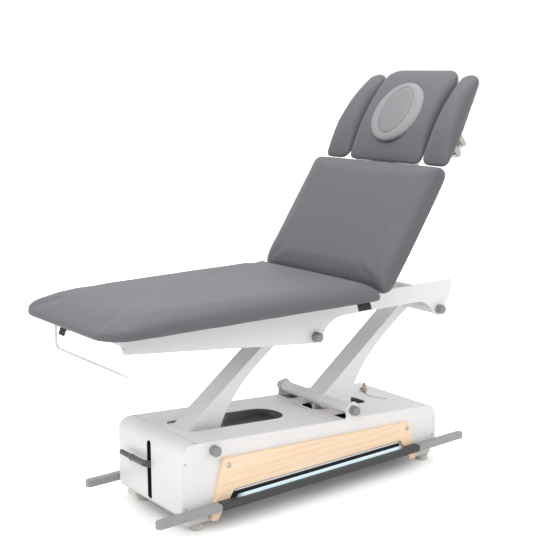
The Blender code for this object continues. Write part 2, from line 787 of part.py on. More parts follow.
def feet_and_members():
    """Cross members between the side sheets, with the levelling feet screwed into them."""
    z = BASE_CLEARANCE + MEMBER_LIFT + MEMBER_HEIGHT / 2
    foot_y = BASE_HALF - FOOT_SIDE_INSET
    stem_top = z - MEMBER_HEIGHT / 2 + FOOT_STEM_DEPTH
    for end, x in (("foot", FOOT_X_INSET), ("head", BASE_LENGTH - FOOT_HEAD_INSET)):
        member = piece("cross_member_" + end, block((MEMBER_WIDTH, 2 * BASE_FIT, MEMBER_HEIGHT)),
                       "white_coat", ROOT, (x, 0.0, z))
        if end == "foot":
            notch = block((2 * MEMBER_WIDTH, LEVER_NOTCH_WIDTH, 2 * LEVER_NOTCH_DEPTH))
            cut(member, notch, (x, SLOT_Y, z + MEMBER_HEIGHT / 2))
        for side, sign in SIDES:
            hole = cylinder(FOOT_STEM_RADIUS + SEAT, 2 * (FOOT_STEM_DEPTH + FOOT_STEM_END), "Z", 16)
            cut(member, hole, (x, sign * foot_y, z - MEMBER_HEIGHT / 2))
            profile = [(0.0, stem_top), (FOOT_STEM_RADIUS, stem_top), (FOOT_STEM_RADIUS, FOOT_HEIGHT),
                       (FOOT_RADIUS * FOOT_SHOULDER, FOOT_HEIGHT), (FOOT_RADIUS, FOOT_HEIGHT * FOOT_SHOULDER),
                       (FOOT_RADIUS, FOOT_RIM), (FOOT_RADIUS - FOOT_RIM, 0.0), (0.0, 0.0)]
            piece("levelling_foot_%s_%s" % (end, side), turned(profile, "Z"), "foot_plastic", ROOT,
                  (x, sign * foot_y, 0.0))


def wood_panels():
    """Side panels of wood with slanted ends and a long notch for the control bar."""
    tf, th, bf, bh = PANEL_TOP_FOOT, PANEL_TOP_HEAD, PANEL_TOE_FOOT, PANEL_TOE_HEAD
    outline = rounded([
        (*tf, 0.008), (*bf, 0.006), (bf[0] + PANEL_TOE_WIDTH_FOOT, bf[1], 0.004),
        (PANEL_NOTCH_FOOT, PANEL_NOTCH_TOP, 0.006), (PANEL_NOTCH_HEAD, PANEL_NOTCH_TOP, 0.006),
        (bh[0] - PANEL_TOE_WIDTH_HEAD, bh[1], 0.004), (*bh, 0.006), (*th, 0.008)])
    for side, sign in SIDES:
        mesh = plate([outline], PANEL_THICKNESS, SIDE_VIEW)
        y = BASE_HALF + SEAT + PANEL_THICKNESS / 2
        piece("wood_panel_" + side, mesh, "wood", ROOT, (0.0, sign * y, 0.0))


def control_bars():
    """Foot control bars: a dark bar with two arms through the side sheet, grey ends and a light strip."""
    inner = BASE_HALF + SEAT + PANEL_THICKNESS + BAR_GAP
    outer = inner + BAR_WIDTH
    pivot_y = BASE_INNER - BAR_ARM_REACH
    dark = BAR_DARK_LENGTH / 2
    arm = BAR_ARM_WIDTH / 2
    for side, sign in SIDES:
        axis = empty("control_bar_axis_" + side, (BAR_CENTRE, sign * pivot_y, BAR_Z), ROOT)
        corners = [(-dark, inner - pivot_y, 0.0)]
        for x in (BAR_ARM_FOOT - BAR_CENTRE, BAR_ARM_HEAD - BAR_CENTRE):
            corners += [(x - arm, inner - pivot_y, BAR_ARM_ROOT), (x - arm, 0.0, BAR_ARM_ROUND),
                        (x + arm, 0.0, BAR_ARM_ROUND), (x + arm, inner - pivot_y, BAR_ARM_ROOT)]
        corners += [(dark, inner - pivot_y, 0.0), (dark, outer - pivot_y, BAR_EDGE),
                    (-dark, outer - pivot_y, BAR_EDGE)]
        outline = [Vector((p.x, sign * p.y)) for p in rounded(corners)]
        piece("control_bar_" + side, plate([outline], BAR_HEIGHT), "dark_bar", axis)
        for end, way in (("foot", -1.0), ("head", 1.0)):
            root, tip = way * (dark + SEAT), way * BAR_LENGTH / 2
            y0, y1 = sign * (inner - pivot_y), sign * (outer - pivot_y)
            outline = rounded([(root, y0, 0.0), (tip, y0, BAR_END_ROUND), (tip, y1, BAR_END_ROUND),
                               (root, y1, 0.0)])
            piece("bar_end_%s_%s" % (end, side), plate([outline], BAR_HEIGHT), "grey_plastic", axis)
        y = sign * (inner - pivot_y + LIGHT_INSET + LIGHT_WIDTH / 2)
        z = BAR_HEIGHT / 2 + SEAT + LIGHT_HEIGHT / 2
        piece("light_strip_" + side, block((LIGHT_LENGTH, LIGHT_WIDTH, LIGHT_HEIGHT)), "light_strip",
              axis, (0.0, y, z))


def castors():
    """Two swing frames with wheel sets, a tie rod between their cranks and the foot lever."""
    head_x = BASE_LENGTH - CASTOR_HEAD_INSET
    arm_tip = (-CASTOR_ARM_X, -CASTOR_ARM_DROP)
    crank_y = TIE_Y + TIE_SHEET / 2 + SEAT + TIE_SHEET / 2
    for end, x in (("foot", CASTOR_FOOT_X), ("head", head_x)):
        axis = empty("castor_axis_" + end, (x, 0.0, CASTOR_Z), ROOT)
        frame = piece("castor_frame_" + end, cylinder(CASTOR_TUBE_RADIUS, 2 * BASE_FIT), "steel", axis)
        for _, sign in SIDES:
            loops = [stadium(0.0, 0.0, *arm_tip, CASTOR_ARM_HALF), circle(*arm_tip, AXLE_RADIUS + RUN)]
            join(frame, plate(loops, CASTOR_ARM_SHEET, SIDE_VIEW), (0.0, sign * CASTOR_ARM_Y, 0.0))
        join(frame, plate([stadium(0.0, 0.0, 0.0, TIE_CRANK, CASTOR_ARM_HALF)], TIE_SHEET, SIDE_VIEW),
             (0.0, crank_y, 0.0))
        join(frame, cylinder(TIE_PIN_RADIUS, 2 * TIE_SHEET, "Y", 16), (0.0, TIE_Y + TIE_SHEET / 2, TIE_CRANK))
        hub = empty("castor_wheel_axis_" + end, (arm_tip[0], 0.0, arm_tip[1]), axis)
        inner = CASTOR_ARM_Y + CASTOR_ARM_SHEET / 2 + WHEEL_GAP
        outer = inner + WHEEL_WIDTH
        end_y, rim = outer + AXLE_END, WHEEL_RIM
        half = [(0.0, end_y), (AXLE_RADIUS, end_y), (AXLE_RADIUS, outer), (WHEEL_RADIUS - rim, outer),
                (WHEEL_RADIUS, outer - rim), (WHEEL_RADIUS, inner + rim), (WHEEL_RADIUS - rim, inner),
                (AXLE_RADIUS, inner)]
        profile = half + [(radius, -along) for radius, along in reversed(half)]
        piece("castor_wheels_" + end, turned(profile), "rubber", hub)
    length = head_x - CASTOR_FOOT_X
    hole = TIE_PIN_RADIUS + TIE_PLAY
    loops = [stadium(0.0, 0.0, length, 0.0, TIE_HALF), circle(0.0, 0.0, hole, 20),
             circle(length, 0.0, hole, 20)]
    piece("castor_tie_rod", plate(loops, TIE_SHEET, SIDE_VIEW), "steel", ROOT,
          (CASTOR_FOOT_X, TIE_Y, CASTOR_Z + TIE_CRANK))
    castor_lever(bpy.data.objects["castor_axis_foot"])


def castor_lever(axis):
    """A flat lever clamped on the foot swing tube, through the slot, with a stepped pedal to one side."""
    tip_x, tip_z = LEVER_TIP_X - CASTOR_FOOT_X, LEVER_TIP_Z - CASTOR_Z
    loops = [tapered(CASTOR_TUBE_RADIUS + LEVER_HUB_WALL, tip_x, tip_z, LEVER_HALF),
             circle(0.0, 0.0, CASTOR_TUBE_RADIUS + SEAT)]
    lever = piece("castor_lever", plate(loops, LEVER_SHEET, SIDE_VIEW), "rubber", axis, (0.0, SLOT_Y, 0.0))
    middle = PEDAL_LENGTH / 2
    ring, ring_end = PEDAL_RADIUS + PEDAL_RING, middle + PEDAL_RING_WIDTH
    profile = [(0.0, PEDAL_LENGTH), (PEDAL_THIN_RADIUS, PEDAL_LENGTH), (PEDAL_THIN_RADIUS, ring_end),
               (ring, ring_end), (ring, middle), (PEDAL_RADIUS, middle), (PEDAL_RADIUS, 0.0), (0.0, 0.0)]
    join(lever, turned(profile), (tip_x, SLOT_Y - LEVER_SHEET / 2 + PEDAL_OFFSET, tip_z))


def key_and_lanyard():
    """A three-winged key that turns in the top cover, and its thin lanyard lying on the cover."""
    x = BASE_LENGTH - KEY_X_INSET
    tilt = math.degrees(math.atan(BASE_SLOPE))
    axis = empty("key_axis", (x, KEY_Y, base_top(x)), ROOT, -tilt)
    thin, wide, step = KEY_STEM_RADIUS, KEY_FLANGE_RADIUS, KEY_FLANGE_TOP
    stem = [(0.0, KEY_HEIGHT), (thin, KEY_HEIGHT), (thin, step), (wide, step), (wide, SEAT), (0.0, SEAT)]
    key = piece("safety_key", turned(stem, "Z", 20), "beige_plastic", axis)
    for k in range(3):
        wing = plate([rounded([(0.0, KEY_WING_BOTTOM, 0.0), (KEY_SPAN, KEY_WING_BOTTOM, KEY_SHEET / 2),
                               (KEY_SPAN, KEY_HEIGHT - KEY_SHEET / 2, KEY_SHEET / 2),
                               (0.0, KEY_HEIGHT, 0.0)])], KEY_SHEET, SIDE_VIEW)
        wing.transform(Matrix.Rotation(2 * math.pi * k / 3, 4, "Z"))
        join(key, wing)
    lift = LANYARD_RADIUS + SEAT
    route = [(px, py, base_top(px) + lift) for px, py in LANYARD_ROUTE]
    piece("key_lanyard", tube_path(smooth_route(route), LANYARD_RADIUS), "beige_plastic", ROOT)


def smooth_route(points, steps=4):
    """Points along a smooth curve through the route's own points."""
    result = []
    count = len(points)
    for i in range(count - 1):
        p0, p1 = Vector(points[max(i - 1, 0)]), Vector(points[i])
        p2, p3 = Vector(points[i + 1]), Vector(points[min(i + 2, count - 1)])
        for k in range(steps):
            t = k / steps
            result.append(0.5 * (2 * p1 + (p2 - p0) * t + (2 * p0 - 5 * p1 + 4 * p2 - p3) * t ** 2
                                 + (3 * p1 - p0 - 3 * p2 + p3) * t ** 3))
    result.append(Vector(points[-1]))
    return result


# Lift

def arm_outline():
    """Side outline of an arm along +X: straight front edge, rear edge flaring to a deep foot."""
    flare = Vector((ARM_FLARE_ALONG, -ARM_FLARE_DEPTH))
    end = Vector((ARM_FLARE_END, -ARM_REAR))
    first = Vector(ARM_FLARE_LOW_HANDLE)
    second = Vector(ARM_FLARE_HIGH_HANDLE)
    rear = []
    for k in range(1, ARM_CURVE_STEPS + 1):
        t = k / ARM_CURVE_STEPS
        rear.append(flare * (1 - t) ** 3 + first * 3 * t * (1 - t) ** 2
                    + second * 3 * t ** 2 * (1 - t) + end * t ** 3)
    head = ARM_LENGTH + ARM_HEAD_REACH
    toe = rounded([(head, -ARM_REAR, ARM_HEAD_ROUND), (head, ARM_FRONT, ARM_HEAD_REACH),
                   (-ARM_TOE, ARM_FRONT, ARM_TOE_ROUND), (-ARM_TOE, -ARM_TOE - ARM_TOE_DROP, ARM_TOE_ROUND),
                   (*flare, ARM_HEAD_ROUND)])
    return toe + rear


def lift_arm(name, pivot, crank):
    """A box arm with a cross tube at each end, bored for the pivot shafts, on an axis that follows it."""
    axis = empty(name + "_axis", pivot, ROOT, ARM_ANGLE)
    arm = piece(name, plate([arm_outline()], ARM_WIDTH, SIDE_VIEW), "white_coat", axis)
    collar = ARM_WIDTH / 2 + COLLAR_WIDTH
    half = [(0.0, BASE_FIT), (LOWER_TUBE_RADIUS, BASE_FIT), (LOWER_TUBE_RADIUS, collar),
            (COLLAR_RADIUS, collar), (COLLAR_RADIUS, collar - COLLAR_WIDTH)]
    profile = half + [(radius, -along) for radius, along in reversed(half)]
    join(arm, turned(profile))
    join(arm, cylinder(UPPER_TUBE_RADIUS, 2 * FRAME_FIT), (ARM_LENGTH, 0.0, 0.0))
    if crank:
        angle = math.radians(-90.0 - (LIFT_UP - LIFT_DOWN) / 2 - ARM_ANGLE)
        eye = (LIFT_CRANK * math.cos(angle), LIFT_CRANK * math.sin(angle))
        loops = [stadium(0.0, 0.0, *eye, LIFT_EYE_RADIUS),
                 circle(*eye, LIFT_PIN_RADIUS + LIFT_PLAY)]
        join(arm, plate(loops, LIFT_CRANK_SHEET, SIDE_VIEW))
    for x in (0.0, ARM_LENGTH):
        cut(arm, cylinder(SHAFT_RADIUS + RUN, 2 * FRAME_HALF), (x, 0.0, 0.0))


def pivot_shaft(name, pivot, half):
    """A through shaft with a round cap proud of the sheet at each end."""
    face = half + SEAT
    end = face + CAP_LENGTH
    side = [(0.0, end), (CAP_RADIUS - CAP_EDGE, end), (CAP_RADIUS, end - CAP_EDGE), (CAP_RADIUS, face),
            (SHAFT_RADIUS, face)]
    profile = side + [(radius, -along) for radius, along in reversed(side)]
    piece(name, turned(profile), "grey_plastic", ROOT, pivot)


def actuator_body(name, back, length, size, rod_radius, lug, parent):
    """A square actuator body along +X from its back end, bored for the rod, with a lug up to its carrier."""
    middle = back + Vector((length / 2, 0.0, 0.0))
    body = piece(name, block((length, size, size), BOX_EDGE), "rubber", parent, middle)
    if lug > size / 2:
        join(body, block((size, size * 0.6, lug)), back + Vector((size, 0.0, lug / 2)))
    depth = length - BODY_END_WALL
    cut(body, cylinder(rod_radius + RUN, 2 * depth, "X", 20), back + Vector((length, 0.0, 0.0)))


def actuator_rod(name, pin, rod_back, radius, crank_sheet, eye_reach, pin_radius, parent):
    """A round rod along +X that ends in a fork with a pin through it."""
    gap = crank_sheet / 2 + FORK_GAP
    outer = gap + FORK_SHEET
    root = -eye_reach - FORK_CLEAR
    start = root - FORK_NECK
    edge = FORK_EDGE
    fork = rounded([(start, -outer, edge), (FORK_TIP, -outer, edge), (FORK_TIP, -gap, 0.0), (root, -gap, 0.0),
                    (root, gap, 0.0), (FORK_TIP, gap, 0.0), (FORK_TIP, outer, edge), (start, outer, edge)])
    rod = piece(name, plate([fork], 2 * radius), "steel", parent, pin)
    length = rod_back + start + FORK_SHEET
    middle = pin + Vector((-rod_back + length / 2, 0.0, 0.0))
    join(rod, cylinder(radius - ROD_RELIEF, length, "X", 20), middle)
    join(rod, cylinder(pin_radius, 2 * outer - SEAT, "Y", 16), pin)


def lift_drive():
    """The lift actuator in the base, on its own cross member, working the head arm's crank."""
    half_range = math.radians((LIFT_UP + LIFT_DOWN) / 2)
    rest = math.radians((LIFT_UP - LIFT_DOWN) / 2)
    level = HEAD_PIVOT.z - LIFT_CRANK * (1 + math.cos(half_range)) / 2
    pin = Vector((HEAD_PIVOT.x - LIFT_CRANK * math.sin(rest), 0.0, level))
    member_x = LIFT_MEMBER_X
    member = block((LIFT_MEMBER_WIDTH, 2 * BASE_FIT, LIFT_MEMBER_HEIGHT))
    piece("cross_member_lift", member, "white_coat", ROOT, (member_x, 0.0, level))
    back = Vector((member_x + LIFT_MEMBER_WIDTH / 2 + SEAT, 0.0, level))
    actuator_body("lift_actuator_body", back, LIFT_BODY_LENGTH, LIFT_BODY_SIZE, LIFT_ROD_RADIUS, 0.0, ROOT)
    actuator_rod("lift_actuator_rod", pin, LIFT_ROD_BACK, LIFT_ROD_RADIUS, LIFT_CRANK_SHEET,
                 LIFT_EYE_RADIUS + LIFT_PLAY, LIFT_PIN_RADIUS, ROOT)


def electrics():
    """The control box on the left side sheet and the mains inlet in the head end cover."""
    y = BASE_FIT - CONTROL_BOX[1] / 2
    piece("control_box", block(CONTROL_BOX, BOX_EDGE), "rubber", ROOT, (CONTROL_BOX_X, y, CONTROL_BOX_Z))
    depth, width, height = INLET_SIZE
    inlet = piece("mains_inlet", block((depth, width, height), BOX_EDGE / 2), "rubber", ROOT,
                  (BASE_LENGTH + SEAT + depth / 2, INLET_Y, INLET_Z))
    cut(inlet, block((depth, width * INLET_MOUTH, height * INLET_MOUTH)),
        (BASE_LENGTH + SEAT + depth * INLET_FLOOR, INLET_Y, INLET_Z))


# Upper frame

def frame_plates():
    """Long side plates: sloping lower edge to the foot pivot lobe, an S-shaped step, and a rear hook."""
    rear_x, rear_z = ARM_SPACING, ARM_STEP
    ear = HINGE_EAR
    hinge_z = FRAME_RISE + BACK_HINGE_RISE
    tail = rear_x + FRAME_TAIL
    outline = rounded([
        *FRAME_FOOT_EDGE, *[(rear_x + x, rear_z + z, r) for x, z, r in FRAME_HEAD_EDGE],
        (tail, FRAME_RISE, FRAME_TAIL_ROUND), (BACK_HINGE_X + ear, FRAME_RISE, 0.0),
        (BACK_HINGE_X + ear, hinge_z + ear, ear),
        (BACK_HINGE_X - ear, hinge_z + ear, ear), (BACK_HINGE_X - ear, FRAME_RISE, 0.0),
        (-FRAME_FRONT, FRAME_RISE, FRAME_TOP_ROUND)])
    bore = SHAFT_RADIUS + SEAT
    loops = [outline, circle(0.0, 0.0, bore), circle(rear_x, rear_z, bore),
             circle(BACK_HINGE_X, hinge_z, HINGE_PIN_RADIUS + RUN, 20)]
    for side, sign in SIDES:
        y = sign * (FRAME_HALF - FRAME_SHEET / 2)
        piece("frame_plate_" + side, plate(loops, FRAME_SHEET, SIDE_VIEW), "white_coat", FRAME, (0.0, y, 0.0))


def frame_members():
    """Front cross member, rear cross member with a dip for the back rails, and the leg board."""
    board_top = FRAME_RISE
    top = board_top - BOARD_THICKNESS - SEAT
    piece("frame_cross_front", block((MEMBER_WIDTH, 2 * FRAME_FIT, MEMBER_HEIGHT)), "white_coat", FRAME,
          (-FRONT_MEMBER_X, 0.0, top - MEMBER_HEIGHT / 2))
    high, dip, low = FRAME_RISE, FRAME_RISE - REAR_MEMBER_DROP, FRAME_RISE - REAR_MEMBER_HEIGHT
    notch, edge = REAR_MEMBER_NOTCH, REAR_MEMBER_EDGE
    outline = rounded([
        (-FRAME_FIT, low, 0.0), (FRAME_FIT, low, 0.0), (FRAME_FIT, high, 0.0), (notch, high, edge),
        (notch - edge, dip, edge), (-notch + edge, dip, edge), (-notch, high, edge), (-FRAME_FIT, high, 0.0)])
    piece("frame_cross_rear", plate([outline], MEMBER_WIDTH, END_VIEW), "white_coat", FRAME,
          (REAR_MEMBER_X, 0.0, 0.0))
    length = BOARD_FRONT + BOARD_REAR
    piece("leg_board", block((length, 2 * FRAME_FIT, BOARD_THICKNESS)), "board", FRAME,
          (BOARD_REAR - length / 2, 0.0, board_top - BOARD_THICKNESS / 2))


def roll_holder():
    """A bent rod under the foot end that carries a paper roll, free at its right end."""
    top = FRAME_RISE
    low = top - ROLL_DROP
    bend = [Vector((-ROLL_X, ROLL_HALF, top))]
    for k in range(ARC_STEPS + 1):
        turn = math.pi / 2 * k / ARC_STEPS
        bend.append(Vector((-ROLL_X, ROLL_HALF - ROLL_BEND * (1 - math.cos(turn)),
                            low + ROLL_BEND * (1 - math.sin(turn)))))
    bend.append(Vector((-ROLL_X, -ROLL_HALF, low)))
    piece("roll_holder", tube_path(bend, ROLL_RADIUS), "white_coat", FRAME)


def leg_pad():
    """The long pad, narrower at the foot end."""
    def half(x):
        t = (x + LEG_FOOT) / (LEG_REAR + LEG_FOOT)
        return LEG_HALF_FOOT + (LEG_HALF_REAR - LEG_HALF_FOOT) * t

    mesh = cushion(-LEG_FOOT, LEG_REAR, half, PAD_BOTTOM, LEG_THICKNESS,
                   lambda sx, sy: LEG_FOOT_CORNER if sx < 0 else PAD_CORNER)
    soften(piece("leg_pad", mesh, "upholstery", FRAME))


# Backrest

def backrest():
    """Pad, ladder frame with the hinge tube and crank, and the actuator under the leg board."""
    mesh = cushion(BACK_START, BACK_START + BACK_LENGTH, lambda x: BACK_HALF, BACK_BOTTOM, BACK_THICKNESS,
                   lambda sx, sy: PAD_CORNER)
    soften(piece("backrest_pad", mesh, "upholstery", BACK))
    inner, outer = RAIL_INNER, RAIL_INNER + RAIL_WIDTH
    end = HEAD_HINGE_X + HEAD_EYE
    wide = FRAME_FIT
    edge = RAIL_CORNER
    outline = [(-RAIL_OVERLAP, -wide, 0.0), (RUNG_WIDTH, -wide, 0.0), (RUNG_WIDTH, -outer, edge),
               (end, -outer, 0.0), (end, -inner, 0.0), (RUNG_LENGTH + RUNG_WIDTH, -inner, edge)]
    outline += [(x, -y, r) for x, y, r in reversed(outline)]
    window = rectangle(RUNG_WIDTH, -inner, RUNG_LENGTH, inner, edge)
    frame = piece("back_frame", plate([rounded(outline), window], RAIL_SHEET), "white_coat", BACK,
                  (0.0, 0.0, RAIL_TOP - RAIL_SHEET / 2))
    tube = HINGE_TUBE_RADIUS
    pin_end = FRAME_HALF - RUN
    half = [(0.0, pin_end), (HINGE_PIN_RADIUS, pin_end), (HINGE_PIN_RADIUS, FRAME_FIT), (tube, FRAME_FIT)]
    join(frame, turned(half + [(radius, -along) for radius, along in reversed(half)], "Y", 24))
    angle = math.radians(-90.0 - RECLINE / 2)
    eye = (BACK_CRANK * math.cos(angle), BACK_CRANK * math.sin(angle))
    loops = [tapered(HINGE_TUBE_RADIUS, *eye, BACK_EYE_RADIUS), circle(*eye, BACK_PIN_RADIUS + BACK_PLAY, 20)]
    join(frame, plate(loops, BACK_CRANK_SHEET, SIDE_VIEW))
    cut(frame, cylinder(HEAD_PIN_RADIUS + RUN, 4 * outer, "Y", 16), (HEAD_HINGE_X, 0.0, HEAD_HINGE_Z))
    back_drive()


def back_drive():
    """The back actuator between the frame plates, hung from the leg board."""
    half_range = math.radians(RECLINE / 2)
    hinge = BACK_HINGE - FRAME_ORIGIN
    level = hinge.z - BACK_CRANK * (1 + math.cos(half_range)) / 2
    pin = Vector((hinge.x + BACK_CRANK * math.sin(half_range), 0.0, level))
    back = Vector((pin.x - BACK_BODY_GAP - BACK_BODY_LENGTH, 0.0, level))
    lug = FRAME_RISE - BOARD_THICKNESS - SEAT - level
    actuator_body("back_actuator_body", back, BACK_BODY_LENGTH, BACK_BODY_SIZE, BACK_ROD_RADIUS, lug, FRAME)
    actuator_rod("back_actuator_rod", pin, BACK_ROD_BACK, BACK_ROD_RADIUS, BACK_CRANK_SHEET,
                 BACK_EYE_RADIUS + BACK_PLAY, BACK_PIN_RADIUS, FRAME)


# Head section

def head_section():
    """Head pad with its face hole and plug, and the board with the hinge tube and the armrest bridge."""
    start = HEAD_HINGE_GAP
    mesh = cushion(start, start + HEAD_LENGTH, lambda x: HEAD_HALF, HEAD_BOTTOM, HEAD_THICKNESS,
                   lambda sx, sy: PAD_CORNER)
    pad = piece("head_pad", mesh, "upholstery", HEAD)
    soften(pad)
    along, across = HOLE_ALONG, HOLE_ACROSS
    hole = oval(HOLE_CENTRE, 0.0, along, across, OVAL_STEPS)
    cut(pad, plate([hole], 4 * HEAD_THICKNESS))
    board_top = HEAD_BOTTOM - SEAT
    tongue = RAIL_INNER - TONGUE_GAP
    back = -TONGUE_BACK
    x0, x1 = HEAD_BOARD_START, HEAD_BOARD_START + HEAD_BOARD_LENGTH
    half = HEAD_BOARD_HALF
    low_corner, high_corner = HEAD_BOARD_CORNERS
    outline = rounded([
        (back, -tongue, 0.0), (x0, -tongue, 0.0), (x0, -half, low_corner), (x1, -half, high_corner),
        (x1, half, high_corner), (x0, half, low_corner), (x0, tongue, 0.0), (back, tongue, 0.0)])
    board = plate([outline, oval(HOLE_CENTRE, 0.0, along, across, OVAL_STEPS)], BOARD_THICKNESS)
    frame = piece("head_frame", board, "white_coat", HEAD, (0.0, 0.0, board_top - BOARD_THICKNESS / 2))
    spigot = RAIL_INNER + RAIL_WIDTH - SPIGOT_SHORT
    tube = RAIL_INNER - SEAT
    side = [(0.0, spigot), (HEAD_PIN_RADIUS, spigot), (HEAD_PIN_RADIUS, tube), (HEAD_TUBE_RADIUS, tube)]
    join(frame, turned(side + [(radius, -y) for radius, y in reversed(side)], "Y", 20))
    armrest_bridge(frame, board_top - BOARD_THICKNESS)
    face_plug()
    for side_name, sign in SIDES:
        armrest(side_name, sign)


def armrest_bridge(frame, board_bottom):
    """A cross bar behind the head board on two posts, with the fixed pins of the armrest links."""
    middle = LINK_S_LOWER + LINK_SPACING / 2
    half = LINK_SPACING / 2 + BRIDGE_MARGIN
    end = LINK_Y - LINK_SHEET / 2 - SEAT
    join(frame, block((2 * half, 2 * end, BRIDGE_SHEET)), (middle, 0.0, LINK_FIXED_N))
    rise = board_bottom - LINK_FIXED_N
    for _, sign in SIDES:
        join(frame, block((POST_WIDTH, POST_WIDTH, rise + BOARD_THICKNESS / 2)),
             (middle, sign * POST_Y, LINK_FIXED_N + rise / 2 + BOARD_THICKNESS / 4))
        for x in (LINK_S_LOWER, LINK_S_LOWER + LINK_SPACING):
            pin = cylinder(LINK_PIN_RADIUS, 2 * LINK_SHEET, "Y", 16)
            join(frame, pin, (x, sign * (end + LINK_SHEET / 2), LINK_FIXED_N))


def face_plug():
    """A round plug in the face hole: a tapered body under a rounded rim with a shallow inner dish."""
    top = HEAD_BOTTOM + HEAD_THICKNESS
    levels = (
        (HOLE_ALONG - PLUG_GAP, HOLE_ACROSS - PLUG_GAP, top - PLUG_DEPTH),
        (HOLE_ALONG - PLUG_GAP, HOLE_ACROSS - PLUG_GAP, top + PLUG_LIFT),
        (HOLE_ALONG + PLUG_RIM, HOLE_ACROSS + PLUG_RIM, top + PLUG_LIFT),
        (HOLE_ALONG + PLUG_RIM, HOLE_ACROSS + PLUG_RIM, top + PLUG_RIM_HEIGHT / 2),
        (HOLE_ALONG + PLUG_RIM / 2, HOLE_ACROSS + PLUG_RIM / 2, top + PLUG_RIM_HEIGHT),
        (PLUG_RECESS_ALONG, PLUG_RECESS_ACROSS, top + PLUG_RIM_HEIGHT),
        (PLUG_RECESS_ALONG - PLUG_RECESS_DRAFT, PLUG_RECESS_ACROSS - PLUG_RECESS_DRAFT,
         top + PLUG_RIM_HEIGHT - PLUG_RECESS_DEPTH))
    count = OVAL_STEPS
    bm = bmesh.new()
    rings = []
    for along, across, z in levels:
        rings.append([bm.verts.new((p.x, p.y, z)) for p in oval(0.0, 0.0, along, across, count)])
    for low, high in zip(rings, rings[1:]):
        for k in range(count):
            bm.faces.new((low[k], low[(k + 1) % count], high[(k + 1) % count], high[k]))
    bm.faces.new(list(reversed(rings[0])))
    bm.faces.new(rings[-1])
    bmesh.ops.recalc_face_normals(bm, faces=bm.faces)
    mesh = bpy.data.meshes.new("plug")
    bm.to_mesh(mesh)
    bm.free()
    piece("face_plug", mesh, "plug_plastic", HEAD, (HOLE_CENTRE, 0.0, 0.0))


def armrest(side, sign):
    """An armrest pad carried by two parallel links, with a lug and pins for them."""
    start = HEAD_HINGE_GAP
    low, high = sorted((sign * ARMREST_INNER, sign * ARMREST_OUTER))

    def corner(sx, sy):
        return ARMREST_CORNER if sx > 0 and sy == sign else PAD_CORNER

    mesh = cushion(start, start + ARMREST_LENGTH, None, HEAD_BOTTOM, HEAD_THICKNESS, corner, (low, high))
    pad = piece("armrest_pad_" + side, mesh, "upholstery", HEAD)
    soften(pad)
    turn = math.radians(LINK_ANGLE)
    reach = Vector((math.cos(turn), 0.0, math.sin(turn))) * LINK_LENGTH
    lug_y = LINK_Y + LINK_SHEET / 2 + SEAT + LUG_SHEET / 2
    first = Vector((LINK_S_LOWER, 0.0, LINK_FIXED_N)) + reach
    rise = HEAD_BOTTOM + LUG_BITE - first.z + LINK_HALF
    join(pad, block((LINK_SPACING + 2 * LINK_HALF, LUG_SHEET, rise)),
         (first.x + LINK_SPACING / 2, sign * lug_y, first.z - LINK_HALF + rise / 2))
    for k, name in enumerate(("lower", "upper")):
        fixed = Vector((LINK_S_LOWER + k * LINK_SPACING, sign * LINK_Y, LINK_FIXED_N))
        pivot = empty("armrest_link_axis_%s_%s" % (name, side), fixed, HEAD)
        hole = LINK_PIN_RADIUS + RUN
        loops = [stadium(0.0, 0.0, reach.x, reach.z, LINK_HALF), circle(0.0, 0.0, hole, 16),
                 circle(reach.x, reach.z, hole, 16)]
        bar = plate(loops, LINK_SHEET, SIDE_VIEW)
        piece("armrest_link_%s_%s" % (name, side), bar, "beige_plastic", pivot)
        pin = cylinder(LINK_PIN_RADIUS, 2 * LUG_SHEET, "Y", 16)
        join(pad, pin, (first.x + k * LINK_SPACING, sign * (lug_y - LUG_SHEET / 2), first.z))


clear_scene()
PARTS = collection("electric_massage_table")
CUTTERS = collection("cutters")
ROOT = empty("table", (TABLE_SHIFT, 0.0, 0.0))
FRAME = empty("upper_frame_axis", FRAME_ORIGIN, ROOT)
BACK = empty("back_axis", BACK_HINGE, ROOT, RECLINE)
HEAD = empty("head_axis", (HEAD_HINGE_X, 0.0, HEAD_HINGE_Z), BACK)
base_sides()
base_top_cover()
end_covers()
feet_and_members()
wood_panels()
control_bars()
castors()
key_and_lanyard()
lift_drive()
electrics()
lift_arm("foot_arm", FOOT_PIVOT, crank=False)
lift_arm("head_arm", HEAD_PIVOT, crank=True)
pivot_shaft("pivot_shaft_foot_lower", FOOT_PIVOT, BASE_HALF)
pivot_shaft("pivot_shaft_head_lower", HEAD_PIVOT, BASE_HALF)
pivot_shaft("pivot_shaft_foot_upper", FRAME_ORIGIN, FRAME_HALF)
pivot_shaft("pivot_shaft_head_upper", FRAME_ORIGIN + Vector((ARM_SPACING, 0.0, ARM_STEP)), FRAME_HALF)
frame_plates()
frame_members()
roll_holder()
leg_pad()
backrest()
head_section()
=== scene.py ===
"""Looks of an electric massage table: upholstered pads, powder-coated sheet steel, beech side panels and a
lit foot bar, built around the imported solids.

X runs from the foot end to the head end, Y to the left seen from the foot end, Z up from the floor.
Base sizes are measured from the base's foot end, frame sizes from the foot arm's upper pivot, and pad sizes
of the back and head sections along their own boards.
"""
import json
import math

import bmesh
import bpy
import numpy as np
from mathutils import Matrix, Vector


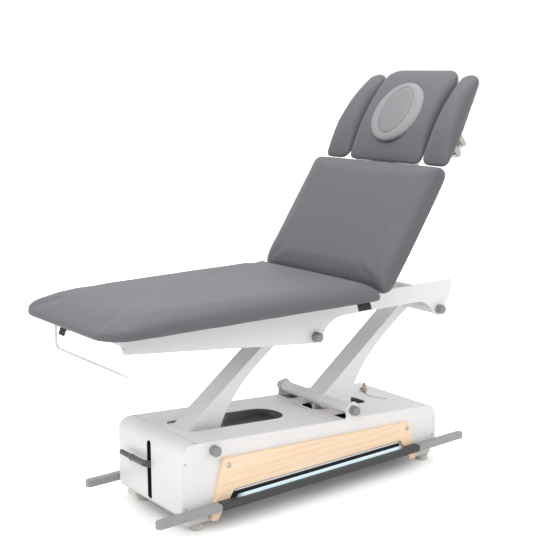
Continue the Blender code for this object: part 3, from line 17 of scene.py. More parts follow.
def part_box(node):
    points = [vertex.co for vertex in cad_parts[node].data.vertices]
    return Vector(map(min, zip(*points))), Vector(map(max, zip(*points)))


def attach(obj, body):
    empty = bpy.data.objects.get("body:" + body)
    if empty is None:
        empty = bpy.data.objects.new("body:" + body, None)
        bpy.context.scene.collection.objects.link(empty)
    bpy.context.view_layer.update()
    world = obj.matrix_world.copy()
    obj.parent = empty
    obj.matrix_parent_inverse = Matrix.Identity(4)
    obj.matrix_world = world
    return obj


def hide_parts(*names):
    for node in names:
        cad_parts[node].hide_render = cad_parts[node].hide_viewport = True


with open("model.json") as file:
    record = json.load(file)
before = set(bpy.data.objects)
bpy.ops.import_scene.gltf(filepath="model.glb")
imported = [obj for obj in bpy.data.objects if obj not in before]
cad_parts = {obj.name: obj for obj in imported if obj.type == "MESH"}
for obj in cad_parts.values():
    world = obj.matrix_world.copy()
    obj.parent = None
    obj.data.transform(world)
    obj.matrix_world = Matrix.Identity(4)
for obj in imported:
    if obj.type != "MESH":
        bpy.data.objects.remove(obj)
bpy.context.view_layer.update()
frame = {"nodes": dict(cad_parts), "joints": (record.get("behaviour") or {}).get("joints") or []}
NODES = frame["nodes"]
JOINTS = {joint["name"]: joint for joint in frame["joints"]}
SIDES = (("left", 1.0), ("right", -1.0))
ACROSS = Vector((0.0, 1.0, 0.0))
UP = Vector((0.0, 0.0, 1.0))
WHITE = (1.0, 1.0, 1.0, 1.0)
BLACK = (0.0, 0.0, 0.0, 1.0)

# Camera, in the photograph's square frame
FRAME_PX = 560
FOCAL_PX = 1091.0
SENSOR_MM = 36.0
CAMERA_YAW = math.radians(51.42)
CAMERA_PITCH = math.radians(11.01)
CAMERA_FROM_FOOT_END = Vector((-1.762, -2.889, 1.448))

# Stage
DOME_LIGHT = 0.62
FLOOR_FADE = (0.0, 0.66)
LAMPS = (
    ("key_softbox", (-2.2, -2.6, 3.4), (0.0, 0.0, 0.6), 2.6, 56.0),
    ("top_softbox", (0.0, 0.3, 3.6), (0.0, 0.0, 0.4), 3.0, 66.0),
    ("head_fill", (3.2, -2.0, 1.8), (0.2, 0.0, 0.6), 2.2, 32.0),
    ("foot_fill", (-2.5, -0.3, 2.4), (-0.47, 0.0, 0.25), 1.6, 23.0),
)

# Base
FOOT_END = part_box("base_side_left")[0].x
BASE_LENGTH = 1.136
BASE_MIDDLE = BASE_LENGTH / 2
BASE_HALF = 0.191
SIDE_SHEET = 0.004
BASE_FIT = 0.1867
CLEARANCE = 0.049
HEIGHT_FOOT = 0.2984
HEIGHT_HEAD = 0.2125
SLOPE = (HEIGHT_FOOT - HEIGHT_HEAD) / BASE_LENGTH
TOP_CORNER = 0.042
TOE_CORNER = 0.028
COVER_SHEET = 0.003
COVER_REACH = 0.060
COVER_TOE = 0.030
EAR_RADIUS = 0.029
SLOT_SIDES = (-0.0115, 0.0140)
SLOT_ENDS = (0.066, 0.267)
VENT_START = 0.645
FOOTPRINT = (BASE_MIDDLE - 0.18, 0.01)
CARRIER_SPAN = {"foot": (0.020, 0.126), "head": (1.018, 1.126)}
CARRIER_LOW = 0.0242
CARRIER_HIGH = 0.0488
KEY_ROUTE = ((1.006, 0.056), (0.995, 0.045), (0.9885, 0.026), (0.9885, 0.004), (0.996, -0.018),
             (1.008, -0.036), (1.019, -0.054))
LANYARD_RADIUS = 0.0011

# Control bars
BAR_DARK = 0.887
BAR_LENGTH = 1.364
BAR_INNER = 0.2049
BAR_OUTER = BAR_INNER + 0.029
BAR_HEIGHT = 0.024
BAR_Z = 0.0795
BAR_ARMS = (0.330, 0.800)
LIGHT_TAPER = 0.010
LIGHT_RISE = 0.0102
LIGHT_SHIFT = (0.0028, -0.0035)
GLOW_FADE = (0.335, 0.385)

# Lifting arms
ARM_LENGTH = 0.518
ARM_ANGLE = math.radians(36.05)
ARM_HALF = 0.042
ARM_FRONT = 0.030
ARM_REAR = 0.0105
ARM_TOE = 0.0205
FLARE = ((0.070, -0.125), (0.105, -0.046), (0.235, -0.0115), (0.385, -ARM_REAR))
CAP_RADIUS = 0.0170
CAP_LENGTH = 0.025

# Upper frame
FRAME_HALF = 0.193
FRAME_SHEET = 0.005
FRAME_RISE = 0.1188
ARM_SPACING = 0.593
ARM_STEP = 0.0135
HINGE_ALONG = 0.2009
TAB_LEAN = math.radians(22.0)
PLATE_STEP = (
    (0.008, -0.0225), (0.020, -0.018), (0.030, -0.009), (0.037, 0.0025), (0.043, 0.013), (0.051, 0.024),
    (0.070, 0.0385), (0.0975, 0.051), (0.1316, 0.0546),
)
PLATE_HOOK = (
    (0.4693, 0.0535), (0.4949, 0.0516), (0.5211, 0.0445), (0.5476, 0.0259), (0.5641, 0.0088),
    (0.579, -0.006),
    (0.589, -0.0118), (0.6005, -0.0125), (0.611, -0.0065), (0.6215, 0.0085), (0.6321, 0.0294),
    (0.6473, 0.0539),
    (0.6569, 0.0827), (0.6605, 0.106),
)

# Pads: a pair is the length of a roll and its fullness
LEG_FOOT = 0.8450
LEG_REAR = 0.1880
LEG_HALF_FOOT = 0.2875
LEG_HALF_REAR = 0.3290
LEG_CORNER_FOOT = 0.105
LEG_CORNER_REAR = 0.026
LEG_BOTTOM = FRAME_RISE + 0.0004
LEG_THICKNESS = 0.060
LEG_NOSE = (0.240, 1.6)
LEG_CREASE = (0.070, 2.2)
LEG_SIDE = (0.075, 2.5)
BACK_START = 0.0115
BACK_LENGTH = 0.4900
BACK_HALF = 0.3310
BACK_CORNER = 0.034
BACK_BOTTOM = -0.0028
BACK_THICKNESS = 0.065
BACK_CREASE = (0.080, 2.0)
BACK_TOP = (0.045, 2.0)
BACK_SIDE = (0.062, 2.6)
HEAD_START = 0.0060
HEAD_LENGTH = 0.3955
HEAD_HALF = 0.1845
HEAD_BOTTOM = 0.0094
HEAD_THICKNESS = 0.0515
HEAD_FOOT = (0.198, 1.05)
HEAD_ARCH = (0.198, 1.2)
HEAD_SIDE = (0.040, 2.3)
ARMREST_INNER = 0.1925
ARMREST_OUTER = 0.3130
ARMREST_LENGTH = 0.3745
ARMREST_NARROWING = 0.036
ARMREST_KNEE = 0.235
ARMREST_ARCH = (0.187, 1.15)
ARMREST_SIDE = (0.042, 2.2)
HOLE_CENTRE = 0.194
HOLE_ALONG = 0.112
HOLE_ACROSS = 0.107
SIDE_STEPS = 22
EDGE_STEPS = 8
TOP_STEPS = 30
FILL_STEPS = 8
PAD_WAIST = 0.20
PAD_TUCK = 0.005
PAD_CROWN = 0.004
CORNER_ROLL = 0.026
HOLE_LIP = 0.012
SOFTNESS = 12.0
CLOTH = {"quality": 5, "mass": 0.4, "tension_stiffness": 40.0, "compression_stiffness": 40.0,
         "shear_stiffness": 20.0, "bending_stiffness": 6.0, "use_pressure": True,
         "uniform_pressure_force": 3.0}
CLOTH_FRAMES = 20

# Armrest links and face plug
LINK_ROOT = (0.1045, -0.0610)
LINK_SPACING = 0.043
LINK_LENGTH = 0.060
LINK_TURN = math.radians(76.5)
LINK_Y = 0.262
PLUG_RIM = 0.011
PLUG_RISE = 0.0145
PLUG_LEVEL = 0.0559
PLUG_LID = (0.0985, 0.0680)

# Edges and rounds
ARC_STEP = math.radians(5.0)
STRAIGHT = math.radians(88.5)
SHARED_SIDE = 0.49
WHOLE_SIDE = 0.98
ROUND = 56
FINE_EDGE = 0.0011
SHARP_ANGLE = math.radians(40.0)


# Places

def pivot(name):
    """A joint's point in the frame."""
    return Vector(JOINTS[name]["pos_m"])


def at_base(x, y, z):
    """A point measured from the base's foot end."""
    return Vector((FOOT_END + x, y, z))


def base_top(x):
    """Height of the sloping base top."""
    return HEIGHT_FOOT - SLOPE * x


def axes(origin, u, v):
    """Matrix that puts a drawing's u and v axes along two directions at an origin."""
    matrix = Matrix((u, v, u.cross(v))).transposed().to_4x4()
    matrix.translation = origin
    return matrix


def heading(angle):
    """Direction in the side view, at an angle above X."""
    return Vector((math.cos(angle), 0.0, math.sin(angle)))


def side_view(origin, angle=0.0):
    """Drawing plane seen from the right: u along the object, v up, turned by an angle."""
    return axes(origin, heading(angle), Vector((-math.sin(angle), 0.0, math.cos(angle))))


def end_view(origin):
    """Drawing plane seen along X: u to the left side, v up."""
    return axes(origin, ACROSS, UP)


def beside(place, y):
    """A drawing plane moved across the object."""
    return Matrix.Translation((0.0, y, 0.0)) @ place


def raised(place, step):
    """A drawing plane moved along its own normal."""
    return place @ Matrix.Translation((0.0, 0.0, step))


def flipped(sign):
    """Mirror image across the object where the sign is negative."""
    return Matrix.Scale(sign, 4, ACROSS)


FOOT_LOW = pivot("lift")
HEAD_LOW = pivot("head_arm_swing")
FOOT_HIGH = pivot("frame_level")
HEAD_HIGH = FOOT_HIGH + Vector((ARM_SPACING, 0.0, ARM_STEP))
BACK_HINGE = pivot("back_recline")
HEAD_HINGE = pivot("head_tilt")
BOARD_NORMAL = Vector(JOINTS["plug_pull"]["axis"])
BOARD_ALONG = Vector((BOARD_NORMAL.z, 0.0, -BOARD_NORMAL.x))
ON_BASE = side_view(at_base(0.0, 0.0, 0.0))
ON_FRAME = side_view(FOOT_HIGH)
ON_BACK = axes(BACK_HINGE, BOARD_ALONG, ACROSS)
ON_HEAD = axes(HEAD_HINGE, BOARD_ALONG, ACROSS)
ON_TOP = axes(at_base(0.0, 0.0, HEIGHT_FOOT), Vector((1.0, 0.0, -SLOPE)).normalized(), ACROSS)


# Shaders

def feed(tree, node, inputs):
    """Give a node's inputs their values, or links from other nodes' sockets."""
    for label, value in inputs.items():
        if isinstance(value, bpy.types.NodeSocket):
            tree.links.new(value, node.inputs[label])
        else:
            node.inputs[label].default_value = value


def add(tree, kind, inputs, **settings):
    """Outputs of a new shader node."""
    node = tree.nodes.new("ShaderNode" + kind)
    for label, value in settings.items():
        setattr(node, label, value)
    feed(tree, node, inputs)
    return node.outputs


def calculate(tree, operation, *values):
    """Result of a math node."""
    return add(tree, "Math", dict(enumerate(values)), operation=operation)[0]


def noise(tree, vector, scale, detail, roughness=0.55):
    """A noise texture's value."""
    return add(tree, "TexNoise",
               {"Vector": vector, "Scale": scale, "Detail": detail, "Roughness": roughness})["Fac"]


def mixed(tree, mask, first, second, **settings):
    """A colour that runs from one to another with a mask."""
    return add(tree, "Mix", {"Factor": mask, "A": first, "B": second}, data_type="RGBA",
               **settings)["Result"]


def tint(tree, mask, colour, spread):
    """A colour that runs from darker to lighter with a mask."""
    low, high = ((*[min(1.0, c * share) for c in colour], 1.0) for share in (1.0 - spread, 1.0 + spread))
    return mixed(tree, mask, low, high)


def span(tree, mask, low, high, start=0.25, end=0.75, **settings):
    """A value that runs from low to high as a mask runs from start to end."""
    limits = {"Value": mask, "From Min": start, "From Max": end, "To Min": low, "To Max": high}
    return add(tree, "MapRange", limits, **settings)["Result"]


def bump(tree, height, strength, distance):
    """Normal from a height."""
    return add(tree, "Bump", {"Height": height, "Strength": strength, "Distance": distance})["Normal"]


def new_group(name, scales, *results):
    """An empty shader group: a vector and named scales go in, named values come out."""
    group = bpy.data.node_groups.new(name, "ShaderNodeTree")
    group.interface.new_socket("Vector", in_out="INPUT", socket_type="NodeSocketVector")
    for label, value in scales.items():
        group.interface.new_socket(label, in_out="INPUT",
                                   socket_type="NodeSocketFloat").default_value = value
    for label in results:
        group.interface.new_socket(label, in_out="OUTPUT", socket_type="NodeSocketFloat")
    return group, group.nodes.new("NodeGroupInput").outputs, group.nodes.new("NodeGroupOutput")


def surface_group():
    """Grain and mottle: fine noise for bump, and slow noise for colour and gloss."""
    group, enter, leave = new_group("surface_variation", {"Grain scale": 900.0, "Mottle scale": 9.0},
                                    "Grain", "Mottle")
    feed(group, leave, {"Grain": noise(group, enter["Vector"], enter["Grain scale"], 3.0),
                        "Mottle": noise(group, enter["Vector"], enter["Mottle scale"], 4.0)})
    return group


def pebble_group():
    """Artificial leather: small rounded cells, broken up by noise."""
    group, enter, leave = new_group("pebble_grain", {"Cell scale": 700.0}, "Height")
    cells = add(group, "TexVoronoi",
                {"Vector": enter["Vector"], "Scale": enter["Cell scale"], "Smoothness": 0.6},
                feature="SMOOTH_F1")
    soft = noise(group, enter["Vector"], 260.0, 2.0)
    feed(group, leave, {"Height": calculate(group, "MULTIPLY_ADD", soft, 0.5, cells["Distance"])})
    return group


SURFACE = surface_group()
PEBBLE = pebble_group()
MATERIALS = {}


def start_material(name):
    """A new Principled material with its Object coordinates at hand."""
    mat = bpy.data.materials.new(name)
    mat.use_nodes = True
    MATERIALS[name] = mat
    tree = mat.node_tree
    return tree, tree.nodes["Principled BSDF"], add(tree, "TexCoord", {})["Object"]


def variation(tree, place, grain_scale, mottle_scale):
    """Grain and mottle on the coordinates."""
    scales = {"Vector": place, "Grain scale": grain_scale, "Mottle scale": mottle_scale}
    return add(tree, "Group", scales, node_tree=SURFACE)


def coated(name, colour, rough, grain=(900.0, 0.15, 0.0002), metallic=0.0, specular=0.5):
    """A painted, moulded or metal surface: slow mottle in colour and gloss, fine grain as bump."""
    tree, shader, place = start_material(name)
    scale, strength, distance = grain
    group = variation(tree, place, scale, 9.0)
    feed(tree, shader, {"Base Color": tint(tree, group["Mottle"], colour, 0.03),
                        "Roughness": span(tree, group["Mottle"], *rough),
                        "Metallic": metallic, "Specular IOR Level": specular,
                        "Normal": bump(tree, group["Grain"], strength, distance)})


def leatherette(name, colour):
    """Soft artificial leather: pebbled cells, slow shade changes and a little sheen."""
    tree, shader, place = start_material(name)
    cells = add(tree, "Group", {"Vector": place, "Cell scale": 820.0}, node_tree=PEBBLE)
    slow = variation(tree, place, 240.0, 5.0)["Mottle"]
    feed(tree, shader, {"Base Color": tint(tree, slow, colour, 0.035),
                        "Roughness": span(tree, slow, 0.46, 0.56),
                        "Specular IOR Level": 0.25, "Sheen Weight": 0.10, "Sheen Roughness": 0.45,
                        "Normal": bump(tree, cells["Height"], 0.22, 0.0004)})


def beech(name, light, dark, turn):
    """Beech veneer: long soft streaks along X, turned a little, with short darker flecks."""
    tree, shader, place = start_material(name)
    streaks, specks = (
        add(tree, "Mapping", {"Vector": place, "Rotation": (0.0, math.radians(turn), 0.0),
                              "Scale": scale})["Vector"]
        for scale in ((3.0, 40.0, 90.0), (55.0, 500.0, 620.0)))
    bands = noise(tree, streaks, 1.0, 6.0, 0.62)
    flecks = noise(tree, specks, 1.0, 2.0)
    veneer = mixed(tree, span(tree, bands, 0.0, 1.0), (*light, 1.0), (*dark, 1.0))
    pores = mixed(tree, span(tree, flecks, 0.0, 0.55, 0.60, 0.72), veneer, (0.80, 0.66, 0.50, 1.0),
                  blend_type="MULTIPLY")
    feed(tree, shader, {"Base Color": pores, "Roughness": span(tree, bands, 0.42, 0.52),
                        "Normal": bump(tree, flecks, 0.08, 0.0002)})


def woven(name, colour, scale, contrast):
    """Narrow ribs across X, as on a woven tape or a ribbed strip."""
    tree, shader, place = start_material(name)
    ribs = add(tree, "TexWave", {"Vector": place, "Scale": scale})["Fac"]
    feed(tree, shader, {"Base Color": tint(tree, ribs, colour, contrast), "Roughness": 0.8,
                        "Normal": bump(tree, ribs, 0.3, 0.0002)})


def lit_diffuser(name, colour):
    """Frosted strip that glows along its middle and fades out towards both ends."""
    tree, shader, place = start_material(name)
    away = calculate(tree, "SUBTRACT", add(tree, "SeparateXYZ", {0: place})["X"], FOOT_END + BASE_MIDDLE)
    fade = span(tree, calculate(tree, "ABSOLUTE", away), 0.0, 1.0, *GLOW_FADE,
                interpolation_type="SMOOTHSTEP")
    feed(tree, shader, {"Emission Color": mixed(tree, fade, (*colour, 1.0), BLACK), "Emission Strength": 1.0,
                        "Base Color": (0.10, 0.11, 0.115, 1.0), "Roughness": 0.4,
                        "Normal": bump(tree, variation(tree, place, 700.0, 14.0)["Grain"], 0.1, 0.0001)})


def make_materials():
    """Every finish of the table."""
    smooth = (1200.0, 0.08, 0.0002)
    coarse = (500.0, 0.25, 0.0003)
    leatherette("slate_leatherette", (0.111, 0.115, 0.125))
    coated("white_coat", (0.80, 0.786, 0.778), (0.40, 0.50), (1100.0, 0.10, 0.0002))
    coated("cap_grey", (0.240, 0.243, 0.258), (0.38, 0.48))
    coated("bar_end_grey", (0.300, 0.302, 0.315), (0.38, 0.48))
    coated("bar_dark", (0.052, 0.053, 0.055), (0.36, 0.46), (1400.0, 0.12, 0.0002),
           specular=0.25)
    coated("lever_dark", (0.085, 0.09, 0.10), (0.48, 0.60), (700.0, 0.25, 0.0003))
    coated("black_plastic", (0.035, 0.035, 0.037), (0.45, 0.58), (800.0, 0.20, 0.0002))
    coated("wheel_rubber", (0.05, 0.05, 0.052), (0.60, 0.75), coarse)
    coated("foot_cream", (0.66, 0.63, 0.58), (0.48, 0.60))
    coated("satin_steel", (0.56, 0.56, 0.57), (0.26, 0.38), (1600.0, 0.05, 0.0001), metallic=1.0)
    coated("screw_steel", (0.42, 0.41, 0.40), (0.30, 0.42), metallic=1.0)
    coated("key_beige", (0.47, 0.37, 0.29), (0.42, 0.55))
    coated("link_beige", (0.50, 0.455, 0.43), (0.42, 0.55))
    coated("plug_mauve", (0.236, 0.231, 0.242), (0.36, 0.46), smooth)
    # Darker copy of plug_mauve for the lid: painted shade standing for the lid's different shading
    coated("lid_mauve_painted_shade", (0.194, 0.190, 0.201), (0.38, 0.48), smooth)
    coated("eyelet_white", (0.82, 0.82, 0.84), (0.25, 0.35))
    # Near-black for painted shade: thin sheets put in gaps, slots, vents and under openings where shade
    # falls
    coated("painted_shade_dark", (0.012, 0.012, 0.012), (0.70, 0.85))
    coated("carrier_white", (0.70, 0.675, 0.635), (0.45, 0.55))
    coated("inner_grey", (0.50, 0.49, 0.48), (0.50, 0.60))
    coated("board_paint", (0.60, 0.60, 0.59), (0.55, 0.70), coarse)
    beech("beech_panel", (0.97, 0.770, 0.565), (0.88, 0.630, 0.415), -3.0)
    woven("black_tape", (0.012, 0.012, 0.015), 420.0, 0.35)
    woven("ribbed_guide", (0.90, 0.90, 0.90), 52.0, 0.45)
    lit_diffuser("glow_strip", (0.60, 0.74, 0.80))


# Mesh building

def linked(name, data):
    """A new object in the scene."""
    obj = bpy.data.objects.new(name, data)
    bpy.context.scene.collection.objects.link(obj)
    return obj


def baked(obj):
    """The object's mesh with its modifiers applied."""
    bpy.context.view_layer.update()
    return bpy.data.meshes.new_from_object(obj.evaluated_get(bpy.context.evaluated_depsgraph_get()))


def positions(mesh):
    """A mesh's points as an array."""
    flat = np.empty(len(mesh.vertices) * 3, np.float32)
    mesh.vertices.foreach_get("co", flat)
    return flat.reshape(-1, 3)


def clean(mesh, merge=0.000005):
    """Weld a mesh's seams and poles and turn its faces outwards."""
    bm = bmesh.new()
    bm.from_mesh(mesh)
    bmesh.ops.remove_doubles(bm, verts=bm.verts, dist=merge)
    bmesh.ops.dissolve_degenerate(bm, edges=bm.edges, dist=merge)
    bmesh.ops.recalc_face_normals(bm, faces=bm.faces)
    bm.to_mesh(mesh)
    bm.free()
    return mesh


def grid_mesh(grid, loop_rows=False, loop_columns=True):
    """Mesh of a grid of points (rows, columns, 3): quads between neighbours, round each closed direction."""
    rows, columns = grid.shape[:2]
    index = np.arange(rows * columns).reshape(rows, columns)
    if loop_rows:
        index = np.vstack((index, index[:1]))
    if loop_columns:
        index = np.hstack((index, index[:, :1]))
    quads = np.stack((index[:-1, :-1], index[:-1, 1:], index[1:, 1:], index[1:, :-1]), axis=-1)
    mesh = bpy.data.meshes.new("surface")
    mesh.from_pydata(grid.reshape(-1, 3).tolist(), [], quads.reshape(-1, 4).tolist())
    return clean(mesh)


def full_turn(count):
    """Angles once round."""
    return np.linspace(0.0, 2.0 * np.pi, count, endpoint=False)


def around(axis, count):
    """Unit vector along an axis, and a circle of unit vectors square to it."""
    along = np.array(Vector(axis).normalized())
    first = np.array(Vector(axis).orthogonal().normalized())
    turn = full_turn(count)[:, None]
    return along, np.cos(turn) * first + np.sin(turn) * np.cross(along, first)


def turned(corners, centre, axis=ACROSS, steps=6):
    """Surface of revolution through (radius, distance along the axis, round) corners, each eased by a
    curve."""
    points = []
    for i, (radius, distance, blend) in enumerate(corners):
        here = np.array((radius, distance))
        if blend <= 0.0 or i in (0, len(corners) - 1):
            points.append(here)
            continue
        sides = [np.array(corners[k][:2]) - here for k in (i - 1, i + 1)]
        a, b = (here + side * min(SHARED_SIDE, blend / np.linalg.norm(side)) for side in sides)
        t = np.linspace(0.0, 1.0, steps)[:, None]
        points.extend(a * (1 - t) ** 2 + here * 2 * t * (1 - t) + b * t ** 2)
    along, circle = around(axis, ROUND)
    profile = np.array(points)[:, :, None, None]
    return grid_mesh(profile[:, 0] * circle + profile[:, 1] * along + np.array(centre))


def mirrored(half):
    """Corners and their mirror images in the second measure, end to end."""
    return half + [(u, -v, radius) for u, v, radius in reversed(half)]


def arcs(corners):
    """Arcs that round (u, v, radius) corners, each tangent to both its sides; one with no radius stays a
    point.

    An arc takes up to half of a side that it shares with another arc, and nearly all of a side that ends
    sharp.
    """
    found = []
    for i, (u, v, radius) in enumerate(corners):
        here = np.array((u, v))
        ends = [corners[i - 1], corners[(i + 1) % len(corners)]]
        sides = [np.array(end[:2]) - here for end in ends]
        a, b = (side / np.linalg.norm(side) for side in sides)
        half = math.acos(np.clip(a @ b, -1.0, 1.0)) / 2
        if radius <= 0.0 or half > STRAIGHT:
            found.append(here[None])
            continue
        room = [(SHARED_SIDE if end[2] > 0.0 else WHOLE_SIDE) * np.linalg.norm(side)
                for end, side in zip(ends, sides)]
        radius = min(radius / math.tan(half), *room) * math.tan(half)
        middle = (a + b) / np.linalg.norm(a + b)
        centre = here + middle * (radius / math.sin(half))
        sweep = math.pi - 2 * half
        way = math.copysign(1.0, a[0] * b[1] - a[1] * b[0])
        turn = np.linspace(-sweep / 2, sweep / 2, max(3, round(sweep / ARC_STEP) + 2)) * -way
        spoke = -middle * radius
        found.append(np.stack((centre[0] + np.cos(turn) * spoke[0] - np.sin(turn) * spoke[1],
                               centre[1] + np.sin(turn) * spoke[0] + np.cos(turn) * spoke[1]), axis=1))
    return found


def rounded(corners):
    """Closed outline through (u, v, radius) corners, each replaced by its arc."""
    return np.concatenate(arcs(corners))


def box_outline(u0, v0, u1, v1, radius=0.0):
    """Rectangle with rounded corners."""
    return rounded([(u0, v0, radius), (u1, v0, radius), (u1, v1, radius), (u0, v1, radius)])


def oval(u, v, along, across, count=96):
    """Ellipse outline."""
    turn = full_turn(count)
    return np.stack((u + along * np.cos(turn), v + across * np.sin(turn)), axis=1)


def stadium(u0, v0, u1, v1, half, tip=None):
    """Bar with round ends about the line between two points; tip gives another half width at its end."""
    start, end = np.array((u0, v0)), np.array((u1, v1))
    turn = math.atan2(v1 - v0, u1 - u0) + np.linspace(-np.pi / 2, np.pi / 2, 24)
    spoke = np.stack((np.cos(turn), np.sin(turn)), axis=1)
    return np.concatenate((end + (tip or half) * spoke, start - half * spoke))


def curve_points(points, steps=6):
    """Smooth open curve through points, by cubic pieces with matching slopes."""
    points = np.array(points, float)
    longer = np.vstack((2 * points[0] - points[1], points, 2 * points[-1] - points[-2]))
    t = np.linspace(0.0, 1.0, steps, endpoint=False)[:, None]
    spans = [0.5 * (2 * p1 + (p2 - p0) * t + (2 * p0 - 5 * p1 + 4 * p2 - p3) * t ** 2
                    + (3 * p1 - p0 - 3 * p2 + p3) * t ** 3)
             for p0, p1, p2, p3 in zip(longer, longer[1:], longer[2:], longer[3:])]
    return np.vstack((*spans, points[-1:]))


def walked(path):
    """Distance along a path at each of its points."""
    return np.concatenate(([0.0], np.cumsum(np.linalg.norm(np.diff(path, axis=0), axis=1))))


def polyline(data, points, closed):
    """Add a line through points to a curve."""
    spline = data.splines.new("POLY")
    spline.points.add(len(points) - 1)
    spline.points.foreach_set("co",
                              np.column_stack((points, np.ones(len(points)))).astype(np.float32).ravel())
    spline.use_cyclic_u = closed


def plate(loops, thickness, edge, place):
    """Sheet of an outline with holes, filled flat, with rolled edges; place carries the drawing into the
    frame."""
    data = bpy.data.curves.new("sheet", "CURVE")
    data.dimensions = "2D"
    data.fill_mode = "BOTH"
    data.extrude = thickness / 2 - edge
    data.bevel_depth = edge
    data.bevel_resolution = 2
    data.offset = -edge
    for loop in loops:
        polyline(data, np.column_stack((loop, np.zeros(len(loop)))), True)
    source = linked("sheet", data)
    mesh = clean(baked(source), 0.00001)
    bpy.data.objects.remove(source, do_unlink=True)
    mesh.transform(place)
    return mesh


def tube(points, radius, sides=20):
    """Round rod: a circle carried along a path, square to it, with domed ends."""
    tangent = np.gradient(points, axis=0)
    tangent /= np.linalg.norm(tangent, axis=1)[:, None]
    aside = np.cross(tangent, (0.31, 0.17, 0.93))
    aside /= np.linalg.norm(aside, axis=1)[:, None]
    turn = full_turn(sides)[None, :, None]
    circle = np.cos(turn) * aside[:, None] + np.sin(turn) * np.cross(tangent, aside)[:, None]
    first, last = (
        [points[k] + way * tangent[k] * radius * math.sin(a) + radius * math.cos(a) * circle[k]
         for a in np.linspace(0.0, np.pi / 2, 5)] for k, way in ((0, -1.0), (-1, 1.0)))
    return grid_mesh(np.array(first[::-1] + list(points[:, None] + radius * circle) + last))


def block(low, high, edge, place=Matrix.Identity(4)):
    """Box between two corners with rounded edges."""
    low, high = Vector(low), Vector(high)
    bm = bmesh.new()
    size = Matrix.Diagonal((*(high - low), 1.0))
    bmesh.ops.create_cube(bm, size=1.0, matrix=Matrix.Translation((low + high) / 2) @ size)
    bmesh.ops.bevel(bm, geom=bm.edges[:], offset=edge, segments=3, profile=0.5, affect="EDGES")
    mesh = bpy.data.meshes.new("block")
    bm.to_mesh(mesh)
    bm.free()
    mesh.transform(place)
    return mesh


def joined(*meshes):
    """Several meshes as one."""
    bm = bmesh.new()
    for mesh in meshes:
        bm.from_mesh(mesh)
    result = bpy.data.meshes.new("joined")
    bm.to_mesh(result)
    bm.free()
    return result


def piece(name, mesh, finish, body, *nodes, even=True):
    """Put a mesh into the scene as a piece that rides on a body and stands for CAD nodes."""
    mesh.name = name
    mesh.materials.clear()
    mesh.materials.append(MATERIALS[finish])
    mesh.shade_smooth()
    mesh.set_sharp_from_angle(angle=SHARP_ANGLE)
    obj = linked(name, mesh)
    if even:
        obj.modifiers.new("even_normals", "WEIGHTED_NORMAL").keep_sharp = True
    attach(obj, body)
    if nodes:
        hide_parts(*nodes)
    return obj


def keep(finish, *nodes):
    """Give CAD nodes that stay as they are a finish."""
    for node in nodes:
        NODES[node].data.materials.clear()
        NODES[node].data.materials.append(MATERIALS[finish])


def screws(stem, spots, normal, finish, body):
    """Button-head screws at (centre, radius) spots: rings of a dome, then rings that follow a six-sided
    socket."""
    along, circle = around(normal, 36)
    flats = np.cos(np.mod(full_turn(36), np.pi / 3) - np.pi / 6)
    dome = np.linspace(0.0, np.radians(62.0), 6)
    for k, (centre, radius) in enumerate(spots):
        rise = radius * 0.45
        rings = [(radius, -0.0004)]
        rings += [(radius * math.cos(a), rise * math.sin(a) / math.sin(dome[-1])) for a in dome]
        socket = radius * 0.40 / flats[:, None] * math.cos(math.pi / 6) ** 0.5
        rings += [(socket, rise), (socket, rise * 0.3), (0.0, rise * 0.3)]
        rows = np.array([reach * circle + height * along for reach, height in rings]) + np.array(centre)
        piece("%s_%d" % (stem, k + 1), grid_mesh(rows), finish, body, even=False)


# Upholstered pads

def inset_outline(corners, distance):
    """Round-cornered outline moved inwards: each side shifts square to itself, each radius shrinks by the
    distance but not to nothing, and every side keeps its number of points."""
    points = np.array([corner[:2] for corner in corners])
    after = np.roll(points, -1, axis=0)
    ahead = (after - points) / np.linalg.norm(after - points, axis=1)[:, None]
    turn = np.sign((points[:, 0] * after[:, 1] - after[:, 0] * points[:, 1]).sum())
    inward = turn * np.stack((-ahead[:, 1], ahead[:, 0]), axis=1)
    behind = np.roll(inward, 1, axis=0)
    moved = points + distance * (inward + behind) / (1.0 + (inward * behind).sum(axis=1))[:, None]
    found = arcs([(*point, max(corner[2] - distance, 0.004)) for point, corner in zip(moved, corners)])
    step = np.linspace(0.0, 1.0, SIDE_STEPS + 2)[1:-1, None]
    ring = []
    for arc, following in zip(found, found[1:] + found[:1]):
        ring += [arc, arc[-1] * (1.0 - step) + following[0] * step]
    return np.concatenate(ring)


